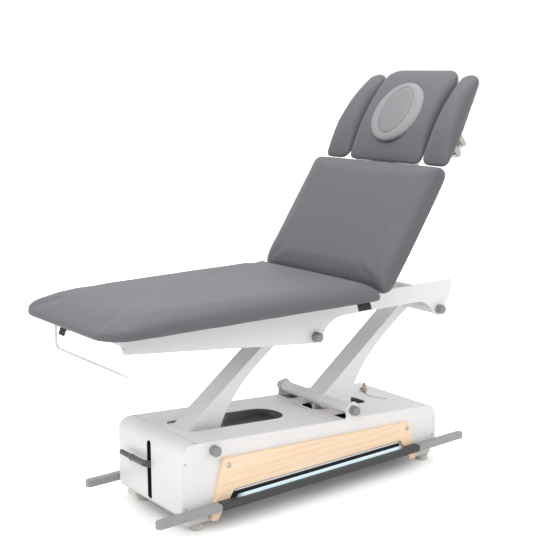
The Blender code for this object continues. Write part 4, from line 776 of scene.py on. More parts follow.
def pad_mesh(corners, thickness, ends, side, hole):
    """Pad on a board, in rings that step in from its outline.

    Below the waist the side is a quarter ellipse out from the tucked-in bottom. Above it the height is
    waist + (thickness - waist) * soft minimum of (end * side, corner): each end and each long side rises as
    (1 - (1 - t)^2)^(1 / fullness) over its own roll, and the round corners as a quarter circle over the
    inset. A crown of (1 - u^2)(1 - v^2) tops it, and a hole's lip rolls down.
    """
    low_side, high_side = np.array(corners[:2]), np.array(corners[:1:-1])
    u0, u1 = low_side[:, 0]
    waist = PAD_WAIST * thickness

    def limits(u):
        return np.interp(u, low_side[:, 0], low_side[:, 1]), np.interp(u, high_side[:, 0], high_side[:, 1])

    def height(plan, inset):
        u, v = plan.T
        low, high = limits(u)
        rise = np.ones(len(plan))
        for distance, (roll, fullness) in ((u - u0, ends[0]), (u1 - u, ends[1]),
                                           (np.minimum(abs(v - low), abs(high - v)), side)):
            short = 1.0 - np.clip(distance / roll, 0.0, 1.0)
            rise *= (1.0 - short ** 2) ** (1.0 / fullness)
        short = 1.0 - np.clip(inset / CORNER_ROLL, 0.0, 1.0)
        corner = np.maximum(np.sqrt(1.0 - short ** 2), 0.001)
        both = np.maximum(rise, 0.001) ** -SOFTNESS + corner ** -SOFTNESS
        across = np.clip((2.0 * v - low - high) / (high - low), -1.0, 1.0)
        along = np.clip((2.0 * u - u0 - u1) / (u1 - u0), -1.0, 1.0)
        crown = PAD_CROWN * (1.0 - across ** 2) * (1.0 - along ** 2)
        return waist + (thickness - waist) * (both / 2.0) ** (-1.0 / SOFTNESS) + crown

    def row(plan, level):
        rows.append(np.column_stack((plan, level)))

    half = min(abs(np.subtract(*limits(u))) for u in (u0, u1)) / 2
    reach = 0.97 * half if hole is None else 1.2 * CORNER_ROLL
    rows = []
    for turn in np.linspace(-np.pi / 2, 0.0, EDGE_STEPS)[:-1]:
        plan = inset_outline(corners, PAD_TUCK * (1.0 - math.cos(turn)))
        row(plan, np.full(len(plan), waist * (1.0 + math.sin(turn))))
    for turn in np.linspace(0.0, np.pi / 2, TOP_STEPS):
        inset = reach * (1.0 - math.cos(turn))
        plan = inset_outline(corners, inset)
        row(plan, height(plan, inset))
    ring, foot = rows[-1][:, :2], rows[0]
    if hole is None:
        u = np.clip(ring[:, 0], u0 + half, max(u1 - half, u0 + half))
        spine = np.column_stack((u, sum(limits(u)) / 2))
        row(spine, height(spine, half))
        under = [foot + (np.column_stack((spine, 0.0 * u)) - foot) * share
                 for share in np.linspace(1.0, 0.0, FILL_STEPS, endpoint=False)]
        return grid_mesh(np.array(under + rows))
    middle, along, across = np.array(hole[:2]), hole[2], hole[3]
    bearing = np.arctan2(*(ring - middle).T[::-1])
    spoke = np.stack((np.cos(bearing), np.sin(bearing)), axis=1)
    radius = along * across / np.hypot(across * spoke[:, 0], along * spoke[:, 1])
    lip = middle + (radius + HOLE_LIP)[:, None] * spoke
    for share in np.linspace(0.0, 1.0, FILL_STEPS)[1:]:
        plan = ring * (1.0 - share) + lip * share
        row(plan, height(plan, reach))
    top = rows[-1][:, 2]
    for bend in np.linspace(0.0, np.pi / 2, 6)[1:]:
        row(middle + (radius + HOLE_LIP * (1.0 - math.sin(bend)))[:, None] * spoke,
            top - HOLE_LIP * (1.0 - math.cos(bend)))
    wall = np.column_stack((middle + radius[:, None] * spoke, np.zeros(len(ring))))
    rows += [wall * (1.0 - share) + foot * share
             for share in np.linspace(0.0, 1.0, FILL_STEPS, endpoint=False)]
    return grid_mesh(np.array(rows), loop_rows=True)


def inflate(mesh, voxel, cap):
    """Let a pad's cover swell as cloth under pressure over its pinned underside, by a limited distance."""
    scene = bpy.context.scene
    obj = linked("swelling", mesh)
    remesh = obj.modifiers.new("remesh", "REMESH")
    remesh.mode = "VOXEL"
    remesh.voxel_size = voxel
    obj.data = baked(obj)
    obj.modifiers.clear()
    start = positions(obj.data)
    low = float(start[:, 2].min())
    pinned = obj.vertex_groups.new(name="underside")
    pinned.add(np.nonzero(start[:, 2] < low + 0.35 * voxel)[0].tolist(), 1.0, "REPLACE")
    cloth = obj.modifiers.new("cloth", "CLOTH")
    for label, value in CLOTH.items():
        setattr(cloth.settings, label, value)
    cloth.settings.vertex_group_mass = pinned.name
    cloth.settings.effector_weights.gravity = 0.0
    cloth.point_cache.frame_start = 1
    cloth.point_cache.frame_end = CLOTH_FRAMES
    for step in range(1, CLOTH_FRAMES + 1):
        scene.frame_set(step)
    shift = positions(baked(obj)) - start
    scene.frame_set(1)
    shift *= np.minimum(1.0, cap / np.maximum(np.linalg.norm(shift, axis=1)[:, None], 1e-9))
    result = obj.data.copy()
    result.vertices.foreach_set("co", (start + shift).astype(np.float32).ravel())
    bpy.data.objects.remove(obj, do_unlink=True)
    return result


def upholster(name, body, node, place, corners, thickness, ends, side, voxel, cap, hole=None):
    """A finished pad: the drawn shape, swollen as cloth, smoothed and put on its board."""
    mesh = pad_mesh(corners, thickness, ends, side, hole)
    mesh = inflate(mesh, voxel, cap)
    mesh.transform(place)
    pad = piece(name, clean(mesh), "slate_leatherette", body, node, even=False)
    smooth = pad.modifiers.new("smooth", "SMOOTH")
    smooth.factor = 0.5
    smooth.iterations = 4
    fine = pad.modifiers.new("fine", "SUBSURF")
    fine.levels = 1
    fine.render_levels = 1


def leg_pad():
    """Long pad, narrower and rounder at the foot end, drawn down to a soft nose there."""
    corners = mirrored([(-LEG_FOOT, -LEG_HALF_FOOT, LEG_CORNER_FOOT),
                        (LEG_REAR, -LEG_HALF_REAR, LEG_CORNER_REAR)])
    place = Matrix.Translation(FOOT_HIGH + Vector((0.0, 0.0, LEG_BOTTOM)))
    upholster("leg_cushion", "upper_frame", "leg_pad", place, corners, LEG_THICKNESS, (LEG_NOSE, LEG_CREASE),
              LEG_SIDE, 0.0085, 0.004)


def back_pad():
    """Backrest pad with soft edges."""
    corners = mirrored([(x, -BACK_HALF, BACK_CORNER) for x in (BACK_START, BACK_START + BACK_LENGTH)])
    upholster("back_cushion", "backrest", "backrest_pad", raised(ON_BACK, BACK_BOTTOM), corners,
              BACK_THICKNESS, (BACK_CREASE, BACK_TOP), BACK_SIDE, 0.0075, 0.004)


def head_pads():
    """Head pad round the face hole and the two narrow armrest pads, all arched along their length."""
    place = raised(ON_HEAD, HEAD_BOTTOM)
    corners = mirrored([(HEAD_START, -HEAD_HALF, 0.030), (HEAD_START + HEAD_LENGTH, -HEAD_HALF, 0.070)])
    upholster("head_cushion", "head", "head_pad", place, corners, HEAD_THICKNESS, (HEAD_FOOT, HEAD_ARCH),
              HEAD_SIDE, 0.0055, 0.002, (HOLE_CENTRE, 0.0, HOLE_ALONG, HOLE_ACROSS))
    end = HEAD_START + ARMREST_LENGTH
    corners = [(HEAD_START, ARMREST_INNER, 0.036), (end, ARMREST_INNER, 0.036),
               (end, ARMREST_OUTER - ARMREST_NARROWING, 0.055), (end - ARMREST_KNEE, ARMREST_OUTER, 0.600),
               (HEAD_START, ARMREST_OUTER + 0.003, 0.026)]
    for side, sign in SIDES:
        upholster("armrest_cushion_" + side, "armrest_" + side, "armrest_pad_" + side, place,
                  [(u, sign * v, radius) for u, v, radius in corners], HEAD_THICKNESS,
                  (ARMREST_ARCH, ARMREST_ARCH),
                  ARMREST_SIDE, 0.0055, 0.003)
        armrest_bracket(side, sign)


# Base

def base_sides():
    """Side sheets: wedge outline with round corners, an ear round the head pivot, and slots for the bar
    arms."""
    u, v, ear = HEAD_LOW.x - FOOT_END, HEAD_LOW.z, EAR_RADIUS
    outline = rounded([
        (0.0, CLEARANCE, TOE_CORNER), (BASE_LENGTH, CLEARANCE, TOE_CORNER),
        (BASE_LENGTH, HEIGHT_HEAD, TOP_CORNER),
        (u + ear, base_top(u + ear), 0.006), (u + ear, v + ear, ear), (u - ear, v + ear, ear),
        (u - ear, base_top(u - ear), 0.006), (0.0, HEIGHT_FOOT, TOP_CORNER)])
    arm_slots = [box_outline(x - 0.0135, 0.058, x + 0.0135, 0.1035, 0.004) for x in BAR_ARMS]
    liner = rounded([(0.070, 0.105, 0.0), (1.060, 0.105, 0.0), (1.060, base_top(1.060) - 0.006, 0.0),
                     (0.070, base_top(0.070) - 0.006, 0.0)])
    for side, sign in SIDES:
        for name, loops, y, thickness, edge, finish, nodes in (
                ("base_side_sheet_", [outline] + arm_slots, BASE_HALF - SIDE_SHEET / 2, SIDE_SHEET,
                 FINE_EDGE, "white_coat", ["base_side_" + side]),
                # Thin near-black plate in the gap between panel and bar: painted shade
                ("bar_gap_painted_shade_", [box_outline(0.186, 0.056, 0.946, 0.1045, 0.004)], BASE_HALF + 0.0006,
                 0.0008, 0.0003, "painted_shade_dark", []),
                ("side_liner_", [liner], BASE_FIT - 0.0003, 0.0006, 0.0002, "white_coat", [])):
            piece(name + side, plate(loops, thickness, edge, beside(ON_BASE, sign * y)), finish, "base",
                  *nodes)


def top_cover():
    """Sloping top sheet with its openings, a row of vents, the seam to the end cover and dark walls
    below; the vents, the slits at the seam and the walls are near-black plates of painted shade."""
    stretch = math.sqrt(1 + SLOPE ** 2)
    u = (HEAD_LOW.x - FOOT_END) * stretch
    start, end = (COVER_REACH + 0.0004) * stretch, (BASE_LENGTH - COVER_REACH - 0.0004) * stretch
    loops = [box_outline(start, -BASE_FIT, end, BASE_FIT),
             rounded(mirrored([(0.102, -0.071, 0.03), (0.536, -0.071, 0.068)])),
             box_outline(u - 0.048, -0.047, u + 0.210, 0.047, 0.03)]
    loops += [box_outline(u - 0.031, low, u + 0.031, high, 0.014)
              for low, high in ((0.122, 0.1805), (-0.1805, -0.122))]
    sheet = plate(loops, COVER_SHEET, FINE_EDGE, raised(ON_TOP, -COVER_SHEET / 2))
    piece("top_cover_sheet", sheet, "white_coat", "base", "base_top_cover")
    # The vents are near-black plates on the sheet: painted shade where the openings are
    vents = [box_outline(VENT_START, y - 0.0016, VENT_START + 0.008, y + 0.0016, 0.0012)
             for y in np.linspace(-0.018, 0.047, 6)]
    piece("cover_vents", joined(*[plate([vent], 0.0006, 0.0002, ON_TOP) for vent in vents]), "painted_shade_dark",
          "base")
    seam = block((start - 0.0012, -BASE_FIT, -0.0006), (start + 0.0008, BASE_FIT, 0.0002), 0.0002, ON_TOP)
    piece("cover_seam", seam, "inner_grey", "base")
    # Wells under the ear openings, walls under the head opening and slits at the seam: painted shade
    well = box_outline(u - 0.050, 0.112, u + 0.050, 0.186, 0.004)
    shaft = box_outline(u - 0.060, -0.105, u + 0.222, -0.0045)
    for side, sign in SIDES:
        aside = Matrix.Translation((0.0, sign * 0.060, 0.0))
        upright = ON_TOP @ aside @ Matrix.Rotation(math.pi / 2, 4, "X")
        slit = block((start - 0.0011, BASE_FIT - 0.009, -0.0004),
                     (start + 0.0007, BASE_FIT + 0.0006, 0.0003), 0.0002,
                     ON_TOP @ flipped(sign))
        for name, mesh in (("ear_well_",
                            plate([well], 0.001, 0.0003, raised(ON_TOP @ flipped(sign), -0.030))),
                           ("head_well_wall_", plate([shaft], 0.001, 0.0003, upright)),
                           ("cover_notch_", slit)):
            piece(name + side, clean(mesh), "painted_shade_dark", "base")


def cover_path(height, slope):
    """Profile of an end cover from its toe to its top flange, as points along its outer face."""
    reach = COVER_REACH
    corners = rounded([(COVER_TOE, CLEARANCE, 0.0), (0.0, CLEARANCE, TOE_CORNER), (0.0, height, TOP_CORNER),
                       (reach, height - slope * reach, 0.0), (reach + 1.0, CLEARANCE - 1.0, 0.0)])
    return corners[:-1]


def bent_sheet(loops, path, place):
    """A flat sheet with holes bent along a profile: distance along the sheet becomes distance along the
    profile, and its depth is measured square to the profile."""
    mesh = plate(loops, COVER_SHEET, FINE_EDGE * 0.9, Matrix.Identity(4))
    walk = walked(path)
    bm = bmesh.new()
    bm.from_mesh(mesh)
    for cut in walk[1:-1]:
        everything = bm.verts[:] + bm.edges[:] + bm.faces[:]
        bmesh.ops.bisect_plane(bm, geom=everything, plane_co=(cut, 0.0, 0.0), plane_no=(1.0, 0.0, 0.0),
                               dist=1e-6)
    bm.to_mesh(mesh)
    bm.free()
    flat = positions(mesh)
    tangent = np.gradient(path, walk, axis=0)
    tangent /= np.linalg.norm(tangent, axis=1)[:, None]
    at, way = (np.stack([np.interp(flat[:, 0], walk, line[:, k]) for k in range(2)])
               for line in (path, tangent))
    depth = COVER_SHEET / 2 - flat[:, 2]
    bent = np.stack((at[0] + way[1] * depth, flat[:, 1], at[1] - way[0] * depth), axis=1)
    mesh.vertices.foreach_set("co", bent.astype(np.float32).ravel())
    mesh.transform(place)
    return clean(mesh)


def end_covers():
    """Foot end cover with its lever slot and guides, and head end cover, each one bent sheet; the guides are
    near-black plates of painted shade seen through the slot.
    """
    path = cover_path(HEIGHT_FOOT, SLOPE)
    walk = walked(path)
    face = path[:, 0] < 1e-6
    rise = np.interp(0.12, path[face, 1], walk[face]) - 0.12
    (low, high), (left, right) = SLOT_ENDS, SLOT_SIDES
    slot = box_outline(low + rise, left, high + rise, right, (right - left) / 2)
    outline = box_outline(0.0, -BASE_FIT, walk[-1], BASE_FIT)
    foot = bent_sheet([outline, slot], path, Matrix.Translation((FOOT_END, 0.0, 0.0)))
    piece("foot_cover_sheet", foot, "white_coat", "base", "foot_end_cover")
    # Near-black plates beside the slot inside the cover: painted shade seen through the slot
    guides = [block((FOOT_END + 0.0062, y - 0.0006, 0.058), (FOOT_END + 0.050, y + 0.0006, 0.268), 0.0003)
              for y in (left - 0.008, right + 0.008)]
    piece("slot_guides", joined(*guides), "painted_shade_dark", "base")
    path = cover_path(HEIGHT_HEAD, -SLOPE)
    mirror = Matrix.Translation((FOOT_END + BASE_LENGTH, 0.0, 0.0)) @ Matrix.Scale(-1.0, 4, (1.0, 0.0, 0.0))
    head = bent_sheet([box_outline(0.0, -BASE_FIT, walked(path)[-1], BASE_FIT)], path, mirror)
    piece("head_cover_sheet", head, "white_coat", "base", "head_end_cover")


def wood_panels():
    """Beech side panels with a long notch, and the screws of the panels, sides and covers."""
    outline = rounded([
        (0.1526, 0.2280, 0.009), (0.1025, 0.0280, 0.006), (0.1280, 0.0280, 0.004), (0.195, 0.117, 0.006),
        (0.9405, 0.117, 0.006), (0.9975, 0.033, 0.004), (1.0235, 0.033, 0.006), (0.9870, 0.1774, 0.009)])
    for side, sign in SIDES:
        mesh = plate([outline], 0.0122, 0.0016, beside(ON_BASE, sign * (BASE_HALF + 0.0064)))
        piece("beech_panel_" + side, mesh, "beech_panel", "base", "wood_panel_" + side)
        for name, radius, y, normal, spots in (
                ("panel_screw_", 0.0090, BASE_HALF + 0.0125, (0.0, sign, 0.0),
                 ((0.172, 0.203), (0.973, 0.158))),
                ("side_screw_", 0.0035, BASE_HALF, (0.0, sign, 0.0),
                 ((0.013, 0.237), (0.014, 0.090), (1.119, 0.163), (1.119, 0.100))),
                ("cover_screw_", 0.0035, BASE_FIT - 0.008, (SLOPE, 0.0, 1.0),
                 [(x, base_top(x) - 0.0002) for x in (0.055, 1.083)])):
            screws(name + side, [(at_base(x, sign * y, z), radius) for x, z in spots], normal, "screw_steel",
                   "base")


def feet():
    """Levelling feet, each a low turned disc with a soft rim on a stem, under a round-edged corner
    carrier."""
    level = at_base(0.0, 0.0, (CARRIER_LOW + CARRIER_HIGH) / 2)
    for end, (near, far) in CARRIER_SPAN.items():
        for side, sign in SIDES:
            name = "_%s_%s" % (end, side)
            node = "levelling_foot" + name
            low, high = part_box(node)
            centre = Vector(((low.x + high.x) / 2, (low.y + high.y) / 2, 0.0))
            profile = [(0.0, 0.0, 0.0), (0.0225, 0.0, 0.0015), (0.0235, 0.006, 0.003),
                       (0.0225, 0.0175, 0.003),
                       (0.0160, 0.0218, 0.003), (0.0065, 0.0222, 0.001), (0.0060, 0.0240, 0.0005),
                       (0.0060, high.z, 0.0), (0.0, high.z, 0.0)]
            piece("foot_disc" + name, turned(profile, centre, UP), "foot_cream", node, node, even=False)
            outline = rounded([(near, sign * 0.128, 0.012), (far, sign * 0.128, 0.012),
                               (far, sign * 0.1845, 0.016), (near, sign * 0.1845, 0.016)])
            stem = oval(centre.x - FOOT_END, centre.y, 0.0070, 0.0070, 32)
            carrier = plate([outline, stem], CARRIER_HIGH - CARRIER_LOW, 0.0055, Matrix.Translation(level))
            piece("foot_carrier" + name, carrier, "carrier_white", "base")


def control_bars():
    """Foot control bars: a dark rail on two arms, light grey tips with round ends, and a lit strip."""
    low, high, dark = BAR_INNER, BAR_OUTER, BAR_DARK / 2
    for side, sign in SIDES:
        body = "control_bar_" + side
        place = Matrix.Translation(at_base(BASE_MIDDLE, 0.0, BAR_Z)) @ flipped(sign)
        parts = [plate([box_outline(-dark, low, dark, high, 0.001)], BAR_HEIGHT, 0.0022, place)]
        for x in BAR_ARMS:
            arm = box_outline(x - BASE_MIDDLE - 0.012, 0.163, x - BASE_MIDDLE + 0.012, low + 0.004, 0.006)
            parts.append(plate([arm], BAR_HEIGHT - 0.002, 0.002, place))
        piece("bar_rail_" + side, clean(joined(*parts)), "bar_dark", body, "control_bar_" + side)
        for end, way in (("foot", -1.0), ("head", 1.0)):
            root, tip = way * (dark + 0.0004), way * BAR_LENGTH / 2
            outline = rounded([(root, low, 0.001), (tip, low, 0.0142), (tip, high, 0.0142),
                               (root, high, 0.001)])
            name = "_%s_%s" % (end, side)
            mesh = clean(plate([outline], BAR_HEIGHT, 0.0026, place))
            piece("bar_tip" + name, mesh, "bar_end_grey", body, "bar_end" + name)
        glow = light_profile(side, sign)
        piece("bar_light_" + side, glow, "glow_strip", body, "light_strip_" + side, even=False)
        guide = block(at_base(0.197, BASE_HALF + 0.0008, 0.1085), at_base(0.937, BASE_HALF + 0.0100, 0.1140),
                      0.0012, flipped(sign))
        piece("recess_light_guide_" + side, clean(guide), "ribbed_guide", "base")


def light_profile(side, sign):
    """Lit strip: a half-round profile carried along the rail, drawn down to points at both ends."""
    low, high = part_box("light_strip_" + side)
    inner = min(abs(low.y), abs(high.y))
    along = np.linspace(low.x, high.x, 120)[:, None]
    taper = np.sqrt(np.clip(np.minimum(along - low.x, high.x - along) / LIGHT_TAPER, 0.0, 1.0))
    turn = np.linspace(0.0, np.pi, 14)
    half = (high.y - low.y) / 2
    across = inner + LIGHT_SHIFT[0] + half - half * np.cos(turn) * np.maximum(taper, 0.05)
    up = low.z + LIGHT_SHIFT[1] - 0.0004 + LIGHT_RISE * np.sin(turn) * taper
    return grid_mesh(np.stack((np.repeat(along, len(turn), 1), sign * across, up), axis=-1))


def castor_lever():
    """Foot lever: a flat tapered bar from its hub, with a stepped round pedal carrying a moulded grip."""
    hub = pivot("castor_lever")
    tip = at_base(-0.022, 0.0, 0.196) - hub
    bar = plate([stadium(0.0, 0.0, tip.x, tip.z, 0.019, 0.010), oval(0.0, 0.0, 0.0113, 0.0113, 40)], 0.012,
                0.002, side_view(hub + Vector((0.0, -0.002, 0.0))))
    grip = [(0.0, 0.0, 0.0), (0.0098, 0.0, 0.002), (0.0096, 0.072, 0.002), (0.0112, 0.0735, 0.002),
            (0.0112, 0.0805, 0.002), (0.0088, 0.0830, 0.001), (0.0085, 0.1470, 0.006), (0.0, 0.150, 0.0)]
    pedal = turned(grip, hub + Vector((tip.x, -0.007, tip.z)))
    piece("pedal_lever", clean(joined(bar, pedal)), "lever_dark", "castor_foot", "castor_lever")


def key_and_lanyard():
    """Upright key blade with three low wings on a small foot, its lanyard lying on the cover, and the
    eyelet that holds the far end."""
    top = pivot("key_turn")
    normal = Vector(JOINTS["key_turn"]["axis"])
    along = Vector((normal.z, 0.0, -normal.x))
    foot = [(0.0, 0.0070, 0.0), (0.0080, 0.0065, 0.001), (0.0098, 0.0045, 0.002), (0.0100, 0.0004, 0.0005),
            (0.0, 0.0004, 0.0)]
    blade = rounded([(-0.0058, 0.005, 0.001), (0.0058, 0.005, 0.001), (0.0052, 0.035, 0.003),
                     (-0.0052, 0.035, 0.003)])
    parts = [turned(foot, top, normal), plate([blade], 0.0075, 0.0016, axes(top, along, normal))]
    wing = rounded([(0.0, 0.005, 0.0), (0.0150, 0.0035, 0.003), (0.0170, 0.0125, 0.0045),
                    (0.0, 0.0200, 0.0)])
    for k in range(3):
        way = Matrix.Rotation(2 * math.pi * k / 3, 4, normal) @ along
        parts.append(plate([wing], 0.0075, 0.0018, axes(top, way, normal)))
    piece("turn_key", joined(*parts), "key_beige", "key", "safety_key", even=False)
    points = curve_points([tuple(at_base(x, y, base_top(x) + LANYARD_RADIUS + 0.0004))
                           for x, y in KEY_ROUTE])
    data = bpy.data.curves.new("lanyard", "CURVE")
    data.dimensions = "3D"
    data.bevel_depth = LANYARD_RADIUS
    data.bevel_resolution = 3
    data.use_fill_caps = True
    polyline(data, points, False)
    data.materials.append(MATERIALS["link_beige"])
    cord = linked("lanyard", data)
    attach(cord, "base")
    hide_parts("key_lanyard")
    dome = [(0.0, 0.0062, 0.0), (0.0060, 0.0058, 0.003), (0.0100, 0.0020, 0.002), (0.0104, 0.0002, 0.0),
            (0.0, 0.0002, 0.0)]
    clip = [(0.0, 0.0040, 0.0), (0.0034, 0.0038, 0.001), (0.0042, 0.0003, 0.0), (0.0, 0.0003, 0.0)]
    for name, profile, x, y, finish in (("lanyard_eyelet", dome, 1.0215, -0.0590, "eyelet_white"),
                                        ("lanyard_clip", clip, 1.0075, 0.0590, "black_plastic")):
        piece(name, turned(profile, at_base(x, y, base_top(x)), normal), finish, "base", even=False)


def mains_inlet():
    """Appliance inlet: a rounded frame round a recess with three flat pins."""
    low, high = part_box("mains_inlet")
    place = end_view(Vector((low.x, (low.y + high.y) / 2, (low.z + high.z) / 2)))
    rim, recess, floor = (box_outline(-y, -z, y, z, 0.004)
                          for y, z in ((0.024, 0.014), (0.015, 0.009), (0.0155, 0.0095)))
    shell = plate([rim, recess], 0.016, 0.0012, raised(place, 0.008))
    bottom = plate([floor], 0.002, 0.0004, raised(place, 0.0015))
    pins = [block((y - 0.002, z - 0.0008, 0.002), (y + 0.002, z + 0.0008, 0.0125), 0.0004, place)
            for y, z in ((-0.007, -0.002), (0.0, 0.003), (0.007, -0.002))]
    piece("inlet_shell", joined(shell, bottom), "black_plastic", "base", "mains_inlet")
    piece("inlet_pins", joined(*pins), "satin_steel", "base")


def castor_wheels():
    """Wheel sets: two turned wheels with rounded treads and hubs on one axle."""
    half = [(0.0, 0.0, 0.0), (0.0060, 0.0, 0.001), (0.0060, -0.0025, 0.001), (0.0150, -0.0035, 0.003),
            (0.0180, -0.0022, 0.002), (0.0270, -0.0024, 0.003), (0.0300, -0.0070, 0.004),
            (0.0300, -0.0190, 0.004),
            (0.0270, -0.0235, 0.003), (0.0060, -0.0238, 0.002), (0.0060, -0.0330, 0.0)]
    for end in ("foot", "head"):
        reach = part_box("castor_wheels_" + end)[1].y
        profile = mirrored([(r, reach + a, b) for r, a, b in half])
        piece("castor_pair_" + end, turned(profile, pivot("castor_roll_" + end), steps=4), "wheel_rubber",
              "wheels_" + end, "castor_wheels_" + end, even=False)


# Lift

def arm_outline():
    """Side outline of an arm: straight front, and a rear edge that flares to the foot along a cubic
    curve."""
    t = np.linspace(0.0, 1.0, 28)[1:, None]
    flare, first, second, end = (np.array(point) for point in FLARE)
    rear = flare * (1 - t) ** 3 + first * 3 * t * (1 - t) ** 2 + second * 3 * t ** 2 * (1 - t) + end * t ** 3
    front = rounded([(ARM_LENGTH + 0.020, -ARM_REAR, 0.012), (ARM_LENGTH + 0.020, ARM_FRONT, 0.020),
                     (-ARM_TOE, ARM_TOE, ARM_TOE), (-ARM_TOE, -0.050, 0.028), (*FLARE[0], 0.012)])
    return np.vstack((front, rear))


def lift_arms():
    """Two box arms with a cross tube and collars at the foot and a plain tube at the top, and the head
    arm's crank plate that the lift rod pushes."""
    low_end, high_end = BASE_FIT - 0.0004, FRAME_HALF - FRAME_SHEET - 0.0006
    collared = [(0.0129, low_end, 0.0), (0.0212, low_end, 0.001), (0.0212, ARM_HALF + 0.0056, 0.0006),
                (0.0270, ARM_HALF + 0.0054, 0.0012), (0.0270, ARM_HALF - 0.001, 0.0)]
    plain = [(0.0129, high_end, 0.0), (0.0215, high_end, 0.001), (0.0215, 0.0, 0.0)]
    for name, low in (("foot", FOOT_LOW), ("head", HEAD_LOW)):
        body = name + "_arm"
        arm = plate([arm_outline()], 2 * ARM_HALF, 0.0030, side_view(low, ARM_ANGLE))
        piece("lift_arm_" + name, arm, "white_coat", body, body)
        tubes = [turned(mirrored(half), centre, steps=4)
                 for half, centre in ((collared, low), (plain, low + heading(ARM_ANGLE) * ARM_LENGTH))]
        piece("arm_tubes_" + name, joined(*tubes), "white_coat", body, even=False)
    drop = Vector((-math.sin(math.radians(3.5)), 0.0, -math.cos(math.radians(3.5)))) * 0.085
    loops = [stadium(0.0, 0.0, drop.x, drop.z, 0.0155, 0.0193), oval(drop.x, drop.z, 0.0158, 0.0158, 48)]
    piece("lift_crank", plate(loops, 0.014, 0.0012, side_view(HEAD_LOW)), "white_coat", "head_arm")


def pivot_shafts():
    """Through shafts with a turned grey cap at each end."""
    for name, centre, half, body in (
            ("foot_lower", FOOT_LOW, BASE_HALF, "base"), ("head_lower", HEAD_LOW, BASE_HALF, "base"),
            ("foot_upper", FOOT_HIGH, FRAME_HALF, "upper_frame"),
            ("head_upper", HEAD_HIGH, FRAME_HALF, "upper_frame")):
        face = half + 0.0003
        end = face + CAP_LENGTH
        side = [(0.0, end - 0.0004, 0.0), (CAP_RADIUS - 0.0034, end, 0.0012),
                (CAP_RADIUS, end - 0.0034, 0.0014),
                (CAP_RADIUS, face, 0.0006), (0.0125, face, 0.0), (0.0125, 0.0, 0.0)]
        mesh = turned(mirrored(side), centre, steps=5)
        piece("shaft_caps_" + name, mesh, "cap_grey", body, "pivot_shaft_" + name, even=False)


# Upper frame

def frame_plates():
    """Long side plates: slanted lower edge, a lobe round the foot pivot, an S step and a hook at the head
    end."""
    hinge = FRAME_RISE + 0.0132
    curves = [(u, v, 0.0) for points in (PLATE_STEP, PLATE_HOOK) for u, v in curve_points(points)]
    outline = rounded([(-0.7346, 0.057, 0.012), (-0.004, -0.0235, 0.020)] + curves + [
        (0.6615, FRAME_RISE, 0.010), (HINGE_ALONG + 0.010, FRAME_RISE, 0.0),
        (HINGE_ALONG + 0.010, hinge, 0.010),
        (HINGE_ALONG - 0.010, hinge, 0.010), (HINGE_ALONG - 0.010, FRAME_RISE, 0.0),
        (-0.757, FRAME_RISE, 0.004)])
    dots = ((-0.7342, 0.075, 0.0042), (0.3486, 0.071, 0.0028), (0.3496, 0.042, 0.0028),
            (0.4426, 0.099, 0.0028), (0.4436, 0.075, 0.0028))
    for side, sign in SIDES:
        mesh = plate([outline], FRAME_SHEET, 0.0013, beside(ON_FRAME, sign * (FRAME_HALF - FRAME_SHEET / 2)))
        piece("long_plate_" + side, mesh, "white_coat", "upper_frame", "frame_plate_" + side)
        spots = [(FOOT_HIGH + Vector((u, sign * FRAME_HALF, v)), radius) for u, v, radius in dots]
        screws("plate_screw_" + side, spots, (0.0, sign, 0.0), "eyelet_white", "upper_frame")


def frame_members():
    """Front cross member, dipped rear cross member, leg board and the paper roll rod."""
    front = block(*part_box("frame_cross_front"), 0.003)
    piece("front_member", front, "white_coat", "upper_frame", "frame_cross_front")
    low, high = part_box("frame_cross_rear")
    half, top, notch = high.y, high.z, 0.095
    dip = top - 0.024
    outline = rounded([(-half, low.z, 0.0), (half, low.z, 0.0), (half, top, 0.0), (notch, top, 0.006),
                       (notch - 0.004, dip, 0.006), (-notch + 0.004, dip, 0.006), (-notch, top, 0.006),
                       (-half, top, 0.0)])
    rear = plate([outline], high.x - low.x, 0.002, end_view(Vector(((low.x + high.x) / 2, 0.0, 0.0))))
    piece("rear_member", rear, "white_coat", "upper_frame", "frame_cross_rear")
    piece("leg_ply_board", block(*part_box("leg_board"), 0.001), "board_paint", "upper_frame", "leg_board")
    low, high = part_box("roll_holder")
    x, radius, bend = (low.x + high.x) / 2, (high.x - low.x) / 2, 0.018
    turn = np.linspace(0.0, np.pi / 2, 12)
    corner = np.stack((np.full(12, x), high.y - radius - bend * (1 - np.cos(turn)),
                       low.z + radius + bend * (1 - np.sin(turn))), axis=1)
    path = np.vstack(((x, high.y - radius, high.z), corner, (x, low.y + radius, low.z + radius)))
    piece("roll_rod", tube(path, radius), "eyelet_white", "upper_frame", "roll_holder", even=False)


def label_tabs():
    """Two bare folded tape tabs sewn under the leg pad's lower edge."""
    bottom = FOOT_HIGH.z + LEG_BOTTOM
    for name, plane, lean, length in (
            ("side", side_view(at_base(0.650, -0.3090, bottom - 0.003)), -TAB_LEAN, 0.058),
            ("foot", end_view(at_base(-0.2925, -0.0110, bottom)), TAB_LEAN, 0.037)):
        place = plane @ Matrix.Rotation(lean, 4, "X")
        end = length / 2
        tab = plate([box_outline(-end, -0.0205, end, 0.010, 0.002)], 0.0022, 0.0008, place)
        fold = plate([stadium(-end + 0.001, -0.0205, end - 0.001, -0.0205, 0.0012)], 0.0030, 0.0009, place)
        piece("sewn_tab_" + name, tab, "black_tape", "upper_frame")
        piece("sewn_tab_fold_" + name, fold, "black_tape", "upper_frame")


# Backrest and head frames

